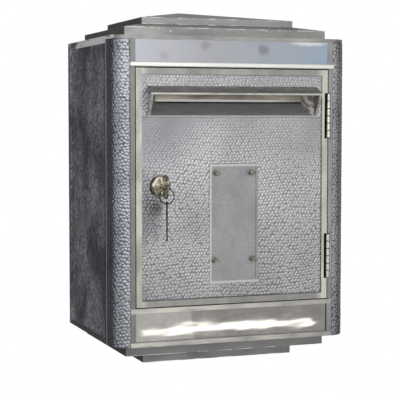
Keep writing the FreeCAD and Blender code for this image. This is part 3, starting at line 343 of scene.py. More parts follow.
def header_finish():
    """Header panel: hazy polish, with a painted blue reflection towards the right, three soft drip marks and
    a painted pale sheen.
    """
    low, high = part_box("header_panel")
    finish = Finish("header_aluminium")
    # painted reflection: the plate turns bluer towards the right
    across = finish.span(finish.axis("X"), -0.1 * high.x, high.x)
    haze = finish.noise(90 * MM, 2.0, (1, 1, 0.8))
    tone = finish.mixed(across, linear(176, 179, 186), linear(172, 191, 212))
    tone = finish.mixed(finish.span(haze, 0.35, 0.7, 0.0, 0.5), tone, linear(188, 187, 190))
    # x from the middle line, z, half width, half height and strength of each drip mark
    drips = ((-44 * MM, high.z - 8 * MM, 9 * MM, 7 * MM, 0.55),
             (45 * MM, high.z - 12 * MM, 10 * MM, 10 * MM, 0.75),
             (-106 * MM, low.z + 9 * MM, 8 * MM, 7 * MM, 0.35))
    marks = finish.either(*[finish.maths("MULTIPLY", finish.spot(x, z, wide, tall, 0.18), strength)
                            for x, z, wide, tall, strength in drips])
    tone = finish.mixed(marks, tone, linear(146, 138, 146))
    sheen = finish.spot(high.x - 30 * MM, high.z, 34 * MM, 6 * MM, 0.15)
    finish.colour(finish.mixed(finish.maths("MULTIPLY", sheen, 0.8), tone, linear(250, 250, 250)))
    finish.roughness(finish.span(haze, 0.3, 0.7, 0.26, 0.32))
    return finish.material


def polished_finish():
    """Lower panel: buffed metal with a low haze and fine level scratches."""
    finish = Finish("polished_aluminium")
    haze = finish.noise(28 * MM, 4.0)
    marks = finish.scratches(1.4 * MM, (0.08, 1, 1), 0.5)
    tone = finish.mixed(finish.span(haze, 0.3, 0.7), linear(150, 149, 147), linear(164, 162, 159))
    finish.colour(finish.mixed(marks, tone, linear(134, 132, 130)))
    finish.roughness(finish.span(haze, 0.3, 0.7, 0.025, 0.045))
    return finish.material


def ledge_finish():
    """Drip ledge: near white, partly bare metal and partly a painted reflection of the lights, and finely
    filed.
    """
    finish = Finish("ledge_aluminium")
    lines = finish.noise(0.9 * MM, 3.0, (0.03, 1, 1))
    cloud = finish.noise(40 * MM, 3.0)
    # near white colour: partly bare metal, partly a painted reflection of the lights
    finish.colour(finish.mixed(finish.span(cloud, 0.3, 0.75), linear(255, 255, 253), linear(244, 242, 238)))
    finish.roughness(finish.span(lines, 0.3, 0.7, 0.34, 0.46))
    finish.bumps((lines, 0.02 * MM))
    return finish.material


def lock_finish():
    """Nickel that has yellowed and browned, with painted shade round its rim, and dented by keys."""
    low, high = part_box("lock_rosette")
    middle, radius = (low + high) / 2, (high.x - low.x) / 2
    finish = Finish("lock_nickel")
    stain = finish.noise(12 * MM, 1.0, distortion=0.8)
    tone = finish.mixed(finish.span(stain, 0.5, 0.68), linear(255, 247, 232), linear(132, 116, 92))
    # painted shade: darker outside this circle, towards the rim of the dome
    inner = finish.spot(middle.x, middle.z, radius, radius)
    finish.colour(finish.mixed(inner, linear(70, 60, 44), tone))
    finish.roughness(finish.span(stain, 0.3, 0.7, 0.16, 0.28))
    dents = finish.noise(16 * MM, 0.0, distortion=0.3)
    finish.bumps((dents, 2.8 * MM), (finish.noise(2.2 * MM, 2.0), 0.02 * MM))
    return finish.material


def key_finish(name, film_colour, rubbed_colour):
    """Handled keys: dark brown film over nickel, rubbed through in a few places."""
    finish = Finish(name)
    film = finish.noise(6 * MM, 4.0)
    finish.colour(finish.mixed(finish.span(film, 0.5, 0.66), film_colour, rubbed_colour))
    finish.roughness(finish.span(film, 0.3, 0.7, 0.42, 0.25))
    finish.bumps((finish.noise(1.2 * MM, 3.0), 0.04 * MM))
    return finish.material


def steel_finish(name, base, worn, rough):
    """Turned steel fixings: fine tool marks and duller, stained patches."""
    finish = Finish(name)
    stain = finish.noise(3.5 * MM, 4.0)
    marks = finish.noise(0.5 * MM, 2.0, (1, 0.3, 1))
    finish.colour(finish.mixed(finish.span(stain, 0.35, 0.68), base, worn))
    finish.roughness(finish.maths("ADD", finish.span(stain, 0.3, 0.7, rough + 0.1, rough),
                                  finish.span(marks, 0.3, 0.7, -0.04, 0.06)))
    finish.bumps((marks, 0.03 * MM))
    return finish.material


def hinge_pocket_shade(finish):
    """One in the notches that the hinges lie in, behind their knuckles, where shade is painted dark."""
    door_side, frame_side = 7 * MM, 5 * MM
    pins = [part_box(name + "_hinge_pin") for name in ("upper", "lower")]
    pockets = [finish.band("Z", low.z - 1 * MM, high.z + 1 * MM, 0.3 * MM) for low, high in pins]
    pin_low, pin_high = pins[-1]
    middle = (pin_low.x + pin_high.x) / 2
    across = finish.band("X", middle - door_side, middle + frame_side, 0.3 * MM)
    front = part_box("door_panel")[0].y
    sunk = finish.span(finish.axis("Y"), front + 0.6 * MM, front + 1.2 * MM)
    return finish.maths("MULTIPLY", finish.maths("MULTIPLY", finish.either(*pockets), across), sunk)


def border_finish():
    """Door border: warm and worn bright on the uprights, greyer on the rails, bright again at the mitres."""
    low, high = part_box("door_panel")
    finish = Finish("border_aluminium")
    reach = BORDER + 6 * MM
    lock_stile = finish.band("X", low.x - BORDER, low.x + BORDER, 1 * MM)
    hinge_stile = finish.band("X", high.x - BORDER, high.x + BORDER, 1 * MM)
    mitre = finish.either(finish.band("X", low.x - reach, low.x + reach, 4 * MM),
                          finish.band("X", high.x - reach, high.x + reach, 4 * MM))
    cloud = finish.noise(22 * MM, 4.0, (1, 1, 0.5))
    rail = finish.mixed(finish.span(cloud, 0.35, 0.7), linear(152, 152, 149), linear(176, 175, 172))
    handled = finish.mixed(finish.span(cloud, 0.35, 0.7), linear(176, 174, 167), linear(212, 209, 200))
    cleaner = finish.mixed(finish.span(cloud, 0.35, 0.7), linear(202, 200, 192), linear(238, 235, 226))
    tone = finish.mixed(finish.maths("MULTIPLY", mitre, 0.6), rail, linear(222, 221, 216))
    tone = finish.mixed(lock_stile, tone, handled)
    tone = finish.mixed(hinge_stile, tone, cleaner)
    # painted shade in the hinge notches
    finish.colour(finish.mixed(hinge_pocket_shade(finish), tone, linear(46, 43, 38)))
    finish.roughness(finish.span(cloud, 0.3, 0.7, 0.42, 0.34))
    finish.bumps((finish.noise(0.9 * MM, 3.0, (0.3, 1, 0.3)), 0.02 * MM))
    return finish.material


def frame_finish():
    """Front frame: satin, duller on its left stile, with bright strips above and below the lower panel,
    partly rubbed and partly a painted highlight, stronger to the left.
    """
    low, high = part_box("lower_panel")
    frame_low, frame_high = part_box("front_frame")
    door_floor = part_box("door_panel")[0].z
    finish = Finish("smooth_aluminium")
    lines = finish.noise(0.8 * MM, 3.0, (1, 1, 0.04))
    cloud = finish.noise(38 * MM, 4.0)
    rubbed = finish.span(finish.noise(24 * MM, 4.0, (0.5, 1, 2), (2, 2, 0)), 0.36, 0.56, 0.25, 1.0)
    tone = finish.mixed(finish.span(cloud, 0.3, 0.7), linear(150, 150, 149), linear(178, 177, 173))
    # bright strips along the rails: partly rubbed, partly a painted highlight on the edges of the recess
    rails = finish.either(finish.band("Z", frame_low.z, low.z - 1 * MM),
                          finish.band("Z", high.z, door_floor - 2 * MM))
    leftward = finish.span(finish.axis("X"), frame_low.x, frame_high.x, 1.0, 0.4)
    rubbed = finish.maths("MULTIPLY", finish.maths("MULTIPLY", rails, rubbed), leftward)
    left_stile = finish.band("X", frame_low.x - 1 * MM, low.x)
    tone = finish.mixed(finish.maths("MULTIPLY", left_stile, 0.5), tone, linear(112, 112, 111))
    tone = finish.mixed(rubbed, tone, linear(228, 225, 216))
    # painted shade in the hinge notches
    finish.colour(finish.mixed(hinge_pocket_shade(finish), tone, linear(46, 43, 38)))
    finish.roughness(finish.span(lines, 0.3, 0.7, 0.32, 0.46))
    finish.bumps((lines, 0.02 * MM), (finish.noise(6 * MM, 2.0), 0.05 * MM))
    return finish.material


def hood_finish():
    """Slot hood: dull and dark on its roof, worn bright along the lip and round the mouth."""
    low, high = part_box("slot_hood")
    finish = Finish("hood_aluminium")
    mottle = finish.noise(9 * MM, 5.0, (0.4, 1, 1))
    tone = finish.mixed(finish.span(mottle, 0.35, 0.7), linear(138, 137, 135), linear(172, 170, 165))
    nose = finish.band("Y", low.y - 2 * MM, low.y + 1.2 * MM)
    toe = finish.band("Z", low.z - 2 * MM, low.z + 2.2 * MM)
    cheeks = finish.either(finish.band("X", low.x - 5 * MM, low.x + 4.2 * MM),
                           finish.band("X", high.x - 4.2 * MM, high.x + 5 * MM))
    below_lip = finish.band("Z", low.z - 2 * MM, low.z + LIP_HEIGHT)
    worn = finish.either(nose, toe, finish.maths("MULTIPLY", cheeks, below_lip))
    worn = finish.maths("MULTIPLY", worn, finish.span(mottle, 0.3, 0.5, 0.45, 1.0))
    tone = finish.mixed(worn, tone, linear(204, 202, 196))
    foot = finish.band("Z", low.z - 2 * MM, low.z + 1.4 * MM)
    finish.colour(finish.mixed(foot, tone, linear(240, 238, 232)))
    finish.roughness(finish.span(mottle, 0.3, 0.7, 0.46, 0.34))
    finish.bumps((mottle, 0.12 * MM))
    return finish.material


def funnel_finish():
    """Chute in the slot: dark, brushed level, with painted swirling reflections and shade on its right cheek.
    """
    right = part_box("slot_hood")[1].x
    finish = Finish("funnel_aluminium", metallic=0.45)
    lines = finish.noise(1.0 * MM, 3.0, (0.04, 1, 1))
    swirl = finish.noise(16 * MM, 3.0, distortion=1.6)
    cheek = finish.band("X", right - 16 * MM, right + 16 * MM, 3 * MM)
    tone = finish.mixed(finish.span(lines, 0.3, 0.7), linear(136, 134, 134), linear(166, 163, 160))
    # painted reflections and shade: light and dark swirls on the right cheek
    swirls = finish.mixed(finish.span(swirl, 0.42, 0.6), linear(96, 92, 90), linear(216, 212, 206))
    finish.colour(finish.mixed(cheek, tone, swirls))
    finish.roughness(finish.span(swirl, 0.3, 0.7, 0.5, 0.36))
    finish.bumps((lines, 0.02 * MM))
    return finish.material


def flap_finish():
    """Slot flap: warm grey sheet, with a painted highlight along its rolled lower edge that fades to the
    right.
    """
    low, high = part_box("slot_flap")
    finish = Finish("flap_aluminium", metallic=0.5)
    mottle = finish.noise(14 * MM, 4.0, (0.3, 1, 1))
    # painted highlight along the rolled lower edge, strongest at the left
    roll = finish.band("Z", low.z - 1 * MM, low.z + 3.4 * MM)
    rubbed = finish.span(finish.axis("X"), 0.6 * high.x, 0.85 * high.x, 1.0, 0.25)
    tone = finish.mixed(finish.span(mottle, 0.35, 0.68), linear(138, 128, 118), linear(196, 188, 176))
    tone = finish.mixed(finish.maths("MULTIPLY", roll, rubbed), tone, linear(255, 254, 248))
    finish.colour(tone)
    finish.metallic(finish.span(roll, 0.0, 1.0, 0.6, 0.1))
    finish.roughness(finish.span(mottle, 0.3, 0.7, 0.4, 0.28))
    finish.bumps((mottle, 0.05 * MM))
    return finish.material


def notice_finish():
    """Notice plate: a satin with a faint haze and grain, with a painted highlight along the left, top and
    bottom of its rim.
    """
    low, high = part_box("notice_plate")
    finish = Finish("notice_aluminium")
    lines = finish.noise(0.8 * MM, 3.0, (1, 1, 0.3))
    haze = finish.noise(34 * MM, 3.0)
    grain = finish.noise(3 * MM, 5.0)
    tone = finish.mixed(finish.span(haze, 0.3, 0.7), linear(160, 161, 163), linear(176, 176, 177))
    tone = finish.mixed(finish.span(grain, 0.4, 0.7, 0.0, 0.5), tone, linear(146, 146, 148))
    # painted highlight on the sides of the rim that face the lights
    rims = finish.either(finish.band("X", low.x - NOTICE_RIM, low.x + NOTICE_RIM),
                         finish.band("Z", high.z - NOTICE_RIM, high.z + NOTICE_RIM),
                         finish.band("Z", low.z - NOTICE_RIM, low.z + NOTICE_RIM))
    finish.colour(finish.mixed(finish.maths("MULTIPLY", rims, 0.6), tone, linear(228, 228, 226)))
    finish.roughness(finish.span(lines, 0.3, 0.7, 0.34, 0.44))
    finish.bumps((lines, 0.01 * MM))
    return finish.material


def hinge_finish(name):
    """Bright steel knuckles, with painted shade in the joints between them and behind the barrel."""
    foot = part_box(name + "_hinge_door_leaf")[0].z
    pin_low, pin_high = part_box(name + "_hinge_pin")
    finish = Finish(name + "_hinge_steel")
    stain = finish.noise(3.5 * MM, 4.0)
    marks = finish.noise(0.5 * MM, 2.0, (1, 0.3, 1))
    tone = finish.mixed(finish.span(stain, 0.35, 0.68), linear(222, 216, 204), linear(252, 249, 240))
    from_joint = finish.maths("PINGPONG", finish.maths("SUBTRACT", finish.axis("Z"), foot), KNUCKLE_PITCH / 2)
    joints = finish.span(from_joint, 0.5 * MM, 1.0 * MM, 0.85, 0.0)
    behind = finish.span(finish.axis("Y"), pin_low.y + 1.0 * MM, pin_high.y, 0.0, 1.0)
    # painted shade in the joints between the knuckles and behind the barrel
    finish.colour(finish.mixed(finish.either(joints, behind), tone, linear(54, 49, 42)))
    finish.roughness(finish.maths("ADD", finish.span(stain, 0.3, 0.7, 0.4, 0.3),
                                  finish.span(marks, 0.3, 0.7, -0.04, 0.06)))
    finish.bumps((marks, 0.03 * MM))
    return finish.material


def floor_finish():
    """Pale studio floor with a faint unevenness."""
    finish = Finish("studio_floor", metallic=0.0)
    finish.roughness(0.8)
    cloud = finish.noise(0.7, 2.0)
    finish.colour(finish.mixed(cloud, (0.86, 0.86, 0.86, 1.0), (0.9, 0.9, 0.9, 1.0)))
    return finish.material


# ---------------------------------------------------------------- relief in the mesh

def hammer_marks(across, up, cell, jitter, seed, plateau=0.5):
    """Height from 0 to 1 of rounded hammer marks: cells of a triangular lattice, each centre moved a little.
    A plateau of 0 leaves round crowns, and one of 1 flat ones with narrow valleys between them."""
    rows_apart = cell * sqrt(3) / 2
    row, column = np.floor(up / rows_apart), np.floor(across / cell)
    half = 2    # rows and columns searched each way for the two nearest centres
    first_row, first_column = int(row.min()) - half, int(column.min()) - half
    rows, columns = int(row.max()) + half + 2 - first_row, int(column.max()) + half + 2 - first_column
    draws = np.random.default_rng(seed).uniform(-1, 1, (rows, columns, 2))
    nearest = np.full(across.shape, np.inf)
    second = nearest.copy()
    for row_step in range(-half, half + 1):
        for column_step in range(-half, half + 1):
            there_row, there_column = row + row_step, column + column_step
            shift = draws[(there_row - first_row).astype(int), (there_column - first_column).astype(int)]
            centre_across = (there_column + 0.5 * (there_row % 2) + jitter * shift[..., 0]) * cell
            centre_up = there_row * rows_apart + jitter * shift[..., 1] * cell
            distance = np.hypot(across - centre_across, up - centre_up)
            second = np.minimum(second, np.maximum(nearest, distance))
            nearest = np.minimum(nearest, distance)
    inside = np.clip((second - nearest) / (0.75 * cell), 0, 1)
    crown = np.clip(1 - (nearest / (0.66 * cell)) ** 2, 0, 1)
    return plateau * inside * (2 - inside) + (1 - plateau) * crown


def slow_wave(across, up, size, seed):
    """A smooth random field of about -1 to 1: a few long waves added up."""
    draws = np.random.default_rng(seed)
    field = np.zeros(np.broadcast(across, up).shape)
    waves = 6
    for _ in range(waves):
        heading, phase, stretch = draws.uniform(0, pi), draws.uniform(0, 2 * pi), draws.uniform(0.7, 1.5)
        field += np.sin((across * cos(heading) + up * sin(heading)) * 2 * pi * stretch / size + phase)
    return field / sqrt(waves)


def skin(name, surface, normals, heights, depth):
    """A closed slab: a relief of the given heights over a grid of surface points, with a plain back."""
    rows, columns = heights.shape
    front = surface + normals * heights[..., None]
    back = surface - normals * depth
    count = rows * columns
    points = np.concatenate([front.reshape(-1, 3), back.reshape(-1, 3)])
    index = np.arange(count).reshape(rows, columns)
    quads = np.stack([index[:-1, :-1], index[:-1, 1:], index[1:, 1:], index[1:, :-1]], -1).reshape(-1, 4)
    rim = np.concatenate([index[0, :-1], index[:-1, -1], index[-1, :0:-1], index[:0:-1, 0]])
    onward = np.roll(rim, -1)
    walls = np.stack([onward, rim, rim + count, onward + count], -1)
    mesh = bpy.data.meshes.new(name)
    faces = quads.tolist() + (quads[:, ::-1] + count).tolist() + walls.tolist()
    mesh.from_pydata(points.tolist(), [], faces)
    piece = bpy.data.objects.new(name, mesh)
    bpy.context.scene.collection.objects.link(piece)
    outward = Vector(normals[0, 0]).dot(mesh.polygons[0].normal)
    if outward < 0:
        mesh.flip_normals()
    return piece


def welded_copy(name, node):
    """A new piece with a CAD node's shape, its split corners joined again."""
    made = bmesh.new()
    made.from_mesh(frame["nodes"][node].data)
    bmesh.ops.remove_doubles(made, verts=made.verts, dist=1e-6)
    made.verts.index_update()
    mesh = bpy.data.meshes.new(name)
    mesh.from_pydata([vertex.co for vertex in made.verts], [],
                     [[vertex.index for vertex in face.verts] for face in made.faces])
    made.free()
    piece = bpy.data.objects.new(name, mesh)
    bpy.context.scene.collection.objects.link(piece)
    return piece


def merge(piece, tool, operation):
    """Joins tool to piece, or cuts it away, and uses tool up."""
    step = piece.modifiers.new(operation, "BOOLEAN")
    step.solver = "MANIFOLD"
    step.operation = operation
    step.object = tool
    shown = piece.evaluated_get(bpy.context.evaluated_depsgraph_get())
    mesh = bpy.data.meshes.new_from_object(shown)
    piece.modifiers.clear()
    spare = piece.data
    piece.data = mesh
    bpy.data.meshes.remove(spare)
    bpy.data.objects.remove(tool)


def cutter(low, high):
    """A plain box for cutting with."""
    mesh = bpy.data.meshes.new("cutter")
    made = bmesh.new()
    bmesh.ops.create_cube(made, size=1)
    for vertex in made.verts:
        vertex.co = [low[i] + (vertex.co[i] + 0.5) * (high[i] - low[i]) for i in range(3)]
    made.to_mesh(mesh)
    made.free()
    tool = bpy.data.objects.new("cutter", mesh)
    bpy.context.scene.collection.objects.link(tool)
    return tool


def grid_over(low, high, spacing):
    """Evenly spaced places from low to high, about spacing apart."""
    count = max(2, round((high - low) / spacing) + 1)
    return np.linspace(low, high, count)


def finish_piece(piece, node, body, materials):
    """Smooth shading with crisp edges, materials, and the piece's place among the CAD's bodies."""
    piece.data.name = piece.name
    piece.data.materials.clear()
    for material in materials:
        piece.data.materials.append(material)
    piece.data.shade_smooth()
    piece.data.set_sharp_from_angle(angle=CREASE)
    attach(piece, body)
    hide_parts(node)


def write_relief(piece, height_of):
    """Keeps each point's place in the relief, from 0 in a valley to 1 on a crown, for the material."""
    places = np.zeros(len(piece.data.vertices) * 3)
    piece.data.vertices.foreach_get("co", places)
    values = np.clip(height_of(places.reshape(-1, 3)), 0, 1)
    relief = piece.data.attributes.new("relief", "FLOAT", "POINT")
    relief.data.foreach_set("value", values.astype(np.float32))


# ---------------------------------------------------------------- pieces that replace plain CAD solids

def door_strength(across, up):
    """How strongly the door is hammered, place by place, as a share of the full relief."""
    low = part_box("door_panel")[0]
    hood_low, hood_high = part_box("slot_hood")
    notice_low, notice_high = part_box("notice_plate")
    strength = 1 - 0.6 * closeness_below(hood_low.z, up) + 0.12 * slow_wave(across, up, 120 * MM, SEED + 3)
    strength -= 0.35 * np.clip(1 - (across - low.x) / (110 * MM), 0, 1)
    strength -= 0.3 * (up > hood_high.z)
    covered = np.minimum.reduce([across - notice_low.x, notice_high.x - across,
                                 up - notice_low.z, notice_high.z - up])
    return strength * np.where(covered > 0, 0.3, 1)


def closeness_below(level, up, reach=70 * MM):
    """One just below a level, falling to zero at reach under it, and zero above it."""
    return np.clip(1 - (level - up) / reach, 0, 1) * (up < level)


def hammered_door(field_material, border_material):
    """The door plate with its hammered field raised in the mesh, inside the plain border."""
    low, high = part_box("door_panel")
    field_y = low.y + BORDER_RISE
    edge = BORDER - 0.5 * MM
    across, up = np.meshgrid(grid_over(low.x + edge, high.x - edge, GRID),
                             grid_over(low.z + edge, high.z - edge, GRID))
    hood_low, hood_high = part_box("slot_hood")
    below_hood = closeness_below(hood_low.z, up)
    bend = 0.7 * DOOR_CELL * (1 - 0.8 * below_hood)
    moved_across = across + bend * slow_wave(across, up, 260 * MM, SEED)
    moved_up = up + bend * slow_wave(across, up, 210 * MM, SEED + 1)
    jitter = 0.18 - 0.10 * below_hood
    marks = hammer_marks(moved_across, moved_up, DOOR_CELL, jitter, SEED + 2, plateau=0.2)
    inset = np.minimum.reduce([across - low.x, high.x - across, up - low.z, high.z - up]) - BORDER
    fade = np.clip(inset / (1.5 * MM), 0, 1)
    heights = RELIEF_BASE + DOOR_RELIEF * marks * fade * door_strength(across, up)
    surface = np.stack([across, np.full_like(across, field_y), up], -1)
    normals = np.broadcast_to(np.array([0.0, -1.0, 0.0]), surface.shape)
    field = skin("door_field", surface, normals, heights, SKIN_DEPTH)
    front, back = field_y - 5 * MM, field_y + 5 * MM
    inside_hood = 2 * MM
    merge(field, cutter((hood_low.x + inside_hood, front, hood_low.z + inside_hood),
                        (hood_high.x - inside_hood, back, hood_high.z - inside_hood)), "DIFFERENCE")
    rosette_low, rosette_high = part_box("lock_rosette")
    lock = (rosette_low + rosette_high) / 2
    merge(field, cutter((lock.x - LOCK_BORE, front, lock.z - LOCK_BORE),
                        (lock.x + LOCK_BORE, back, lock.z + LOCK_BORE)), "DIFFERENCE")
    piece = welded_copy("door_panel_hammered", "door_panel")
    merge(piece, field, "UNION")
    write_relief(piece, lambda at: (field_y - RELIEF_BASE - at[:, 1]) / DOOR_RELIEF)
    finish_piece(piece, "door_panel", "door", [field_material, border_material])
    for face in piece.data.polygons:
        middle = face.center
        on_field = (field_y - BORDER_RISE * 0.5 < middle.y < field_y + 0.2 * MM
                    and abs(middle.x) < high.x - BORDER and low.z + BORDER < middle.z < high.z - BORDER)
        face.material_index = 0 if on_field else 1


def hammered_corner(side, material):
    """A corner moulding with its rounded angle and side flat hammered in the mesh."""
    node = "corner_moulding_" + side
    low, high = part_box(node)
    outward = 1 if side == "right" else -1
    flat = max(abs(low.x), abs(high.x)) - BEAD_RISE
    front, hammered_end = low.y, high.y - CORNER_LAP - BEAD
    reach = pi / 2 * CORNER_RADIUS
    straight = hammered_end - front - CORNER_RADIUS
    along, up = np.meshgrid(grid_over(0, reach + straight, GRID), grid_over(low.z, high.z, GRID))
    turn = np.clip(along / CORNER_RADIUS, 0, pi / 2)
    beyond = np.clip(along - reach, 0, None)
    centre_x, centre_y = flat - CORNER_RADIUS, front + CORNER_RADIUS
    surface = np.stack([(centre_x + CORNER_RADIUS * np.sin(turn)) * outward,
                        centre_y - CORNER_RADIUS * np.cos(turn) + beyond, up], -1)
    normals = np.stack([np.sin(turn) * outward, -np.cos(turn), np.zeros_like(turn)], -1)
    bend = 0.6 * CORNER_CELL
    marks = hammer_marks(along + bend * slow_wave(along, up, 150 * MM, SEED + 4 + outward),
                         up + bend * slow_wave(along, up, 170 * MM, SEED + 6 + outward),
                         CORNER_CELL, 0.3, SEED + 8 + outward)
    edges = np.minimum.reduce([along, reach + straight - along, up - low.z, high.z - up])
    fade = np.clip(edges / (1.6 * MM), 0, 1)
    strength = 1 + 0.15 * slow_wave(along, up, 60 * MM, SEED + 12)
    heights = RELIEF_BASE + CORNER_RELIEF * marks * fade * strength
    relief = skin("corner_field", surface, normals, heights, SKIN_DEPTH)
    piece = welded_copy(node + "_hammered", node)
    merge(piece, relief, "UNION")

    def height_of(at):
        sideways = np.abs(at[:, 0]) - centre_x
        forward = centre_y - at[:, 1]
        off = np.where(forward > 0, np.hypot(np.clip(sideways, 0, None), forward), sideways)
        return (off - CORNER_RADIUS - RELIEF_BASE) / CORNER_RELIEF

    write_relief(piece, height_of)
    finish_piece(piece, node, "casing", [material])


def wavy_panel(node, material, wave, seed, level=1.0):
    """A thin polished panel whose face is gently wavy, as buffed sheet is.
    A level below 1 draws the waves out sideways."""
    low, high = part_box(node)
    across, up = np.meshgrid(grid_over(low.x, high.x, WAVE_GRID), grid_over(low.z, high.z, WAVE_GRID))
    edges = np.minimum.reduce([across - low.x, high.x - across, up - low.z, high.z - up])
    fade = np.clip(edges / (6 * MM), 0, 1)
    waves = sum(share * slow_wave(across * level, up, size, seed + step)
                for step, (share, size) in enumerate(((1, 46 * MM), (0.4, 19 * MM), (0.14, 9 * MM))))
    heights = wave * waves * fade
    surface = np.stack([across, np.full_like(across, low.y), up], -1)
    normals = np.broadcast_to(np.array([0.0, -1.0, 0.0]), surface.shape)
    piece = skin(node + "_buffed", surface, normals, heights, high.y - low.y)
    finish_piece(piece, node, "casing", [material])


# ---------------------------------------------------------------- finishes of the CAD nodes that stay

def soften_edges(piece, width):
    """Rounds sharp edges a little, so that they catch the light."""
    rounding = piece.modifiers.new("edge_round", "BEVEL")
    rounding.width = width
    rounding.segments = 2
    rounding.limit_method = "ANGLE"
    rounding.angle_limit = radians(35)
    rounding.harden_normals = True
    rounding.use_clamp_overlap = True


def dress(node, material, width):
    """Gives a CAD node its material and softened edges."""
    piece = frame["nodes"][node]
    for slot in piece.material_slots:
        slot.material = material
    soften_edges(piece, width)


def own_finishes():
    """Materials of the nodes that have a finish of their own, whatever their slot."""
    lower_low, lower_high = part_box("roof_lower_step")
    upper_low, upper_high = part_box("roof_upper_step")
    lower_edges = (lower_low.z, lower_high.z - LOWER_ROOF_SLOPE)
    upper_edges = (upper_low.z, upper_high.z - UPPER_ROOF_HIP)
    pin = steel_finish("hinge_pin_steel", linear(120, 114, 104), linear(160, 154, 142), 0.35)
    return {
        "slot_hood": hood_finish(),
        "slot_funnel": funnel_finish(),
        "slot_flap": flap_finish(),
        "notice_plate": notice_finish(),
        "notice_screws": steel_finish("notice_screw_steel", linear(104, 100, 92), linear(178, 172, 160), 0.3),
        "drip_ledge": ledge_finish(),
        "front_frame": frame_finish(),
        "roof_plate": roof_plate_finish(),
        "roof_lower_step": roof_finish("roof_lower_aluminium", lower_edges),
        "roof_upper_step": roof_finish("roof_upper_aluminium", upper_edges),
        "base_upper_step": base_finish("base_upper_step"),
        "base_lower_step": base_finish("base_lower_step"),
        # the door key's lighter colours are a painted highlight, over the film rubbed through in places
        "door_key": key_finish("door_key_steel", linear(112, 101, 84), linear(214, 204, 188)),
        "upper_hinge_pin": pin,
        "lower_hinge_pin": pin,
    }


def dress_cad_nodes():
    """Puts a material on every CAD node that no other piece replaces."""
    by_slot = {
        "dark_aluminium": dark_finish(),
        "roof_aluminium": roof_finish("roof_aluminium", (), linear(138, 138, 138), linear(164, 164, 163)),
        "steel_fixings": steel_finish("steel_fixings", linear(160, 154, 140), linear(222, 216, 202), 0.3),
        "lock_nickel": lock_finish(),
        "key_steel": key_finish("key_steel", linear(52, 45, 36), linear(92, 82, 68)),
    }
    own = own_finishes()
    for name in ("upper", "lower"):
        leaf = hinge_finish(name)
        for owner in ("frame", "door"):
            dress(f"{name}_hinge_{owner}_leaf", leaf, FIXING_ROUND)
    for entry in frame["record"]["subparts"]:
        node, slot = entry["node"], entry["material_slot"]
        if node in own or slot in by_slot:
            width = FIXING_ROUND if slot in SMALL_SLOTS else EDGE_ROUND
            dress(node, own.get(node, by_slot.get(slot)), width)


# ---------------------------------------------------------------- studio

def aim(thing, target):
    thing.rotation_euler = (Vector(target) - thing.location).to_track_quat("-Z", "Y").to_euler()


def softbox(name, bearing, height, distance, width, tall, radiance, tint, target):
    """A soft rectangular light, aimed at target from the given height over it and distance from it.
    bearing is in degrees from straight in front, positive to the left."""
    light = bpy.data.lights.new(name, "AREA")
    light.shape = "RECTANGLE"
    light.size, light.size_y = width, tall
    light.energy = radiance * pi * width * tall
    light.color = tint
    lamp = bpy.data.objects.new(name, light)
    turn = radians(bearing)
    lamp.location = target + Vector((-sin(turn) * distance, -cos(turn) * distance, height))
    aim(lamp, target)
    lamp.visible_camera = False
    bpy.context.scene.collection.objects.link(lamp)
    return lamp


def low_strip():
    """A long narrow lamp low in front on the right, mirrored by the lower panel as a band of light."""
    low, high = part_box("lower_panel")
    distance, long, thin, radiance, tilt = 3.0, 0.72, 0.028, 3.2, radians(8)
    seen_at = Vector((-4 * MM, low.y, low.z + 0.38 * (high.z - low.z)))
    eye = Vector(CAMERA_PLACE)
    mirrored_eye = Vector((eye.x, 2 * seen_at.y - eye.y, eye.z))
    place = seen_at + (seen_at - mirrored_eye).normalized() * distance
    lamp = softbox("low_strip", 0, 0, 0, long, thin, radiance, (1.0, 0.97, 0.9), place)
    lamp.data.shape = "ELLIPSE"
    lamp.rotation_euler = (pi / 2 + tilt, 0, 0)


# name, bearing, height, distance, width, tall, radiance, tint
LAMPS = (
    ("front_window", 16, 0.85, 3.0, 3.6, 2.0, 1.72, (0.96, 0.98, 1.0)),
    ("front_right", -36, 0.1, 3.0, 3.3, 2.6, 0.60, (1.0, 0.98, 0.95)),
    ("front_low", 5, -0.8, 3.0, 2.6, 0.9, 0.5, (1.0, 0.99, 0.97)),
    ("left_window", 70, 0.4, 2.6, 2.3, 2.4, 0.66, (0.93, 0.96, 1.0)),
    ("right_fill", -100, 0.3, 2.6, 2.0, 2.2, 0.28, (0.86, 0.93, 1.0)),
    ("overhead", -10, 2.2, 1.4, 2.4, 1.6, 1.3, (1.0, 1.0, 1.0)),
    ("behind", 190, 1.6, 2.2, 2.0, 1.4, 0.5, (1.0, 1.0, 1.0)),
)


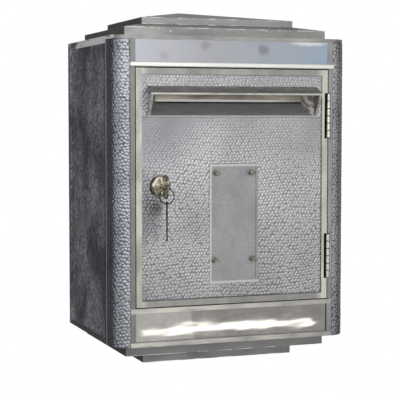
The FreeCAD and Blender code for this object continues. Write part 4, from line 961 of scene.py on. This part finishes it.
def build_studio():
    """Lamps, and a world that is dim as a light and white as a background."""
    middle = (cad_box[0] + cad_box[1]) / 2
    scene = bpy.context.scene
    scene.view_settings.view_transform = "Standard"
    for lamp in LAMPS:
        softbox(*lamp, middle)
    low_strip()
    world = bpy.data.worlds.new("studio")
    scene.world = world
    world.use_nodes = True
    tree = world.node_tree
    shine, sight = tree.nodes["Background"], tree.nodes.new("ShaderNodeBackground")
    shine.inputs["Color"].default_value = (0.10, 0.10, 0.105, 1.0)
    sight.inputs["Color"].default_value = (1.0, 1.0, 1.0, 1.0)
    seen, chosen = tree.nodes.new("ShaderNodeLightPath"), tree.nodes.new("ShaderNodeMixShader")
    tree.links.new(seen.outputs["Is Camera Ray"], chosen.inputs[0])
    tree.links.new(shine.outputs[0], chosen.inputs[1])
    tree.links.new(sight.outputs[0], chosen.inputs[2])
    tree.links.new(chosen.outputs[0], tree.nodes["World Output"].inputs["Surface"])


def build_floor():
    """A round pale floor, well below the wall mounted box."""
    drop, radius = 1.1, 2.4
    mesh = bpy.data.meshes.new("studio_floor")
    made = bmesh.new()
    bmesh.ops.create_circle(made, cap_ends=True, segments=96, radius=radius)
    made.to_mesh(mesh)
    made.free()
    floor = bpy.data.objects.new("studio_floor", mesh)
    floor.location = (0, cad_box[0].y, cad_box[0].z - drop)
    bpy.context.scene.collection.objects.link(floor)
    mesh.materials.append(floor_finish())


def build_camera():
    """A long lens in front and to the left of the box, at about the height of its slot."""
    data = bpy.data.cameras.new("camera")
    data.lens, data.sensor_width = CAMERA_LENS, CAMERA_SENSOR
    camera = bpy.data.objects.new("camera", data)
    camera.location = CAMERA_PLACE
    camera.rotation_euler = (CAMERA_TILT, 0, CAMERA_TURN)
    bpy.context.scene.collection.objects.link(camera)
    bpy.context.scene.camera = camera


def main():
    build_camera()
    build_studio()
    build_floor()
    dress_cad_nodes()
    hammered_door(door_finish(), border_finish())
    corner = corner_finish()
    for side in ("left", "right"):
        hammered_corner(side, corner)
    wavy_panel("header_panel", header_finish(), 0.5 * PANEL_WAVE, SEED + 20)
    wavy_panel("lower_panel", polished_finish(), PANEL_WAVE, SEED + 30, level=0.35)


main()
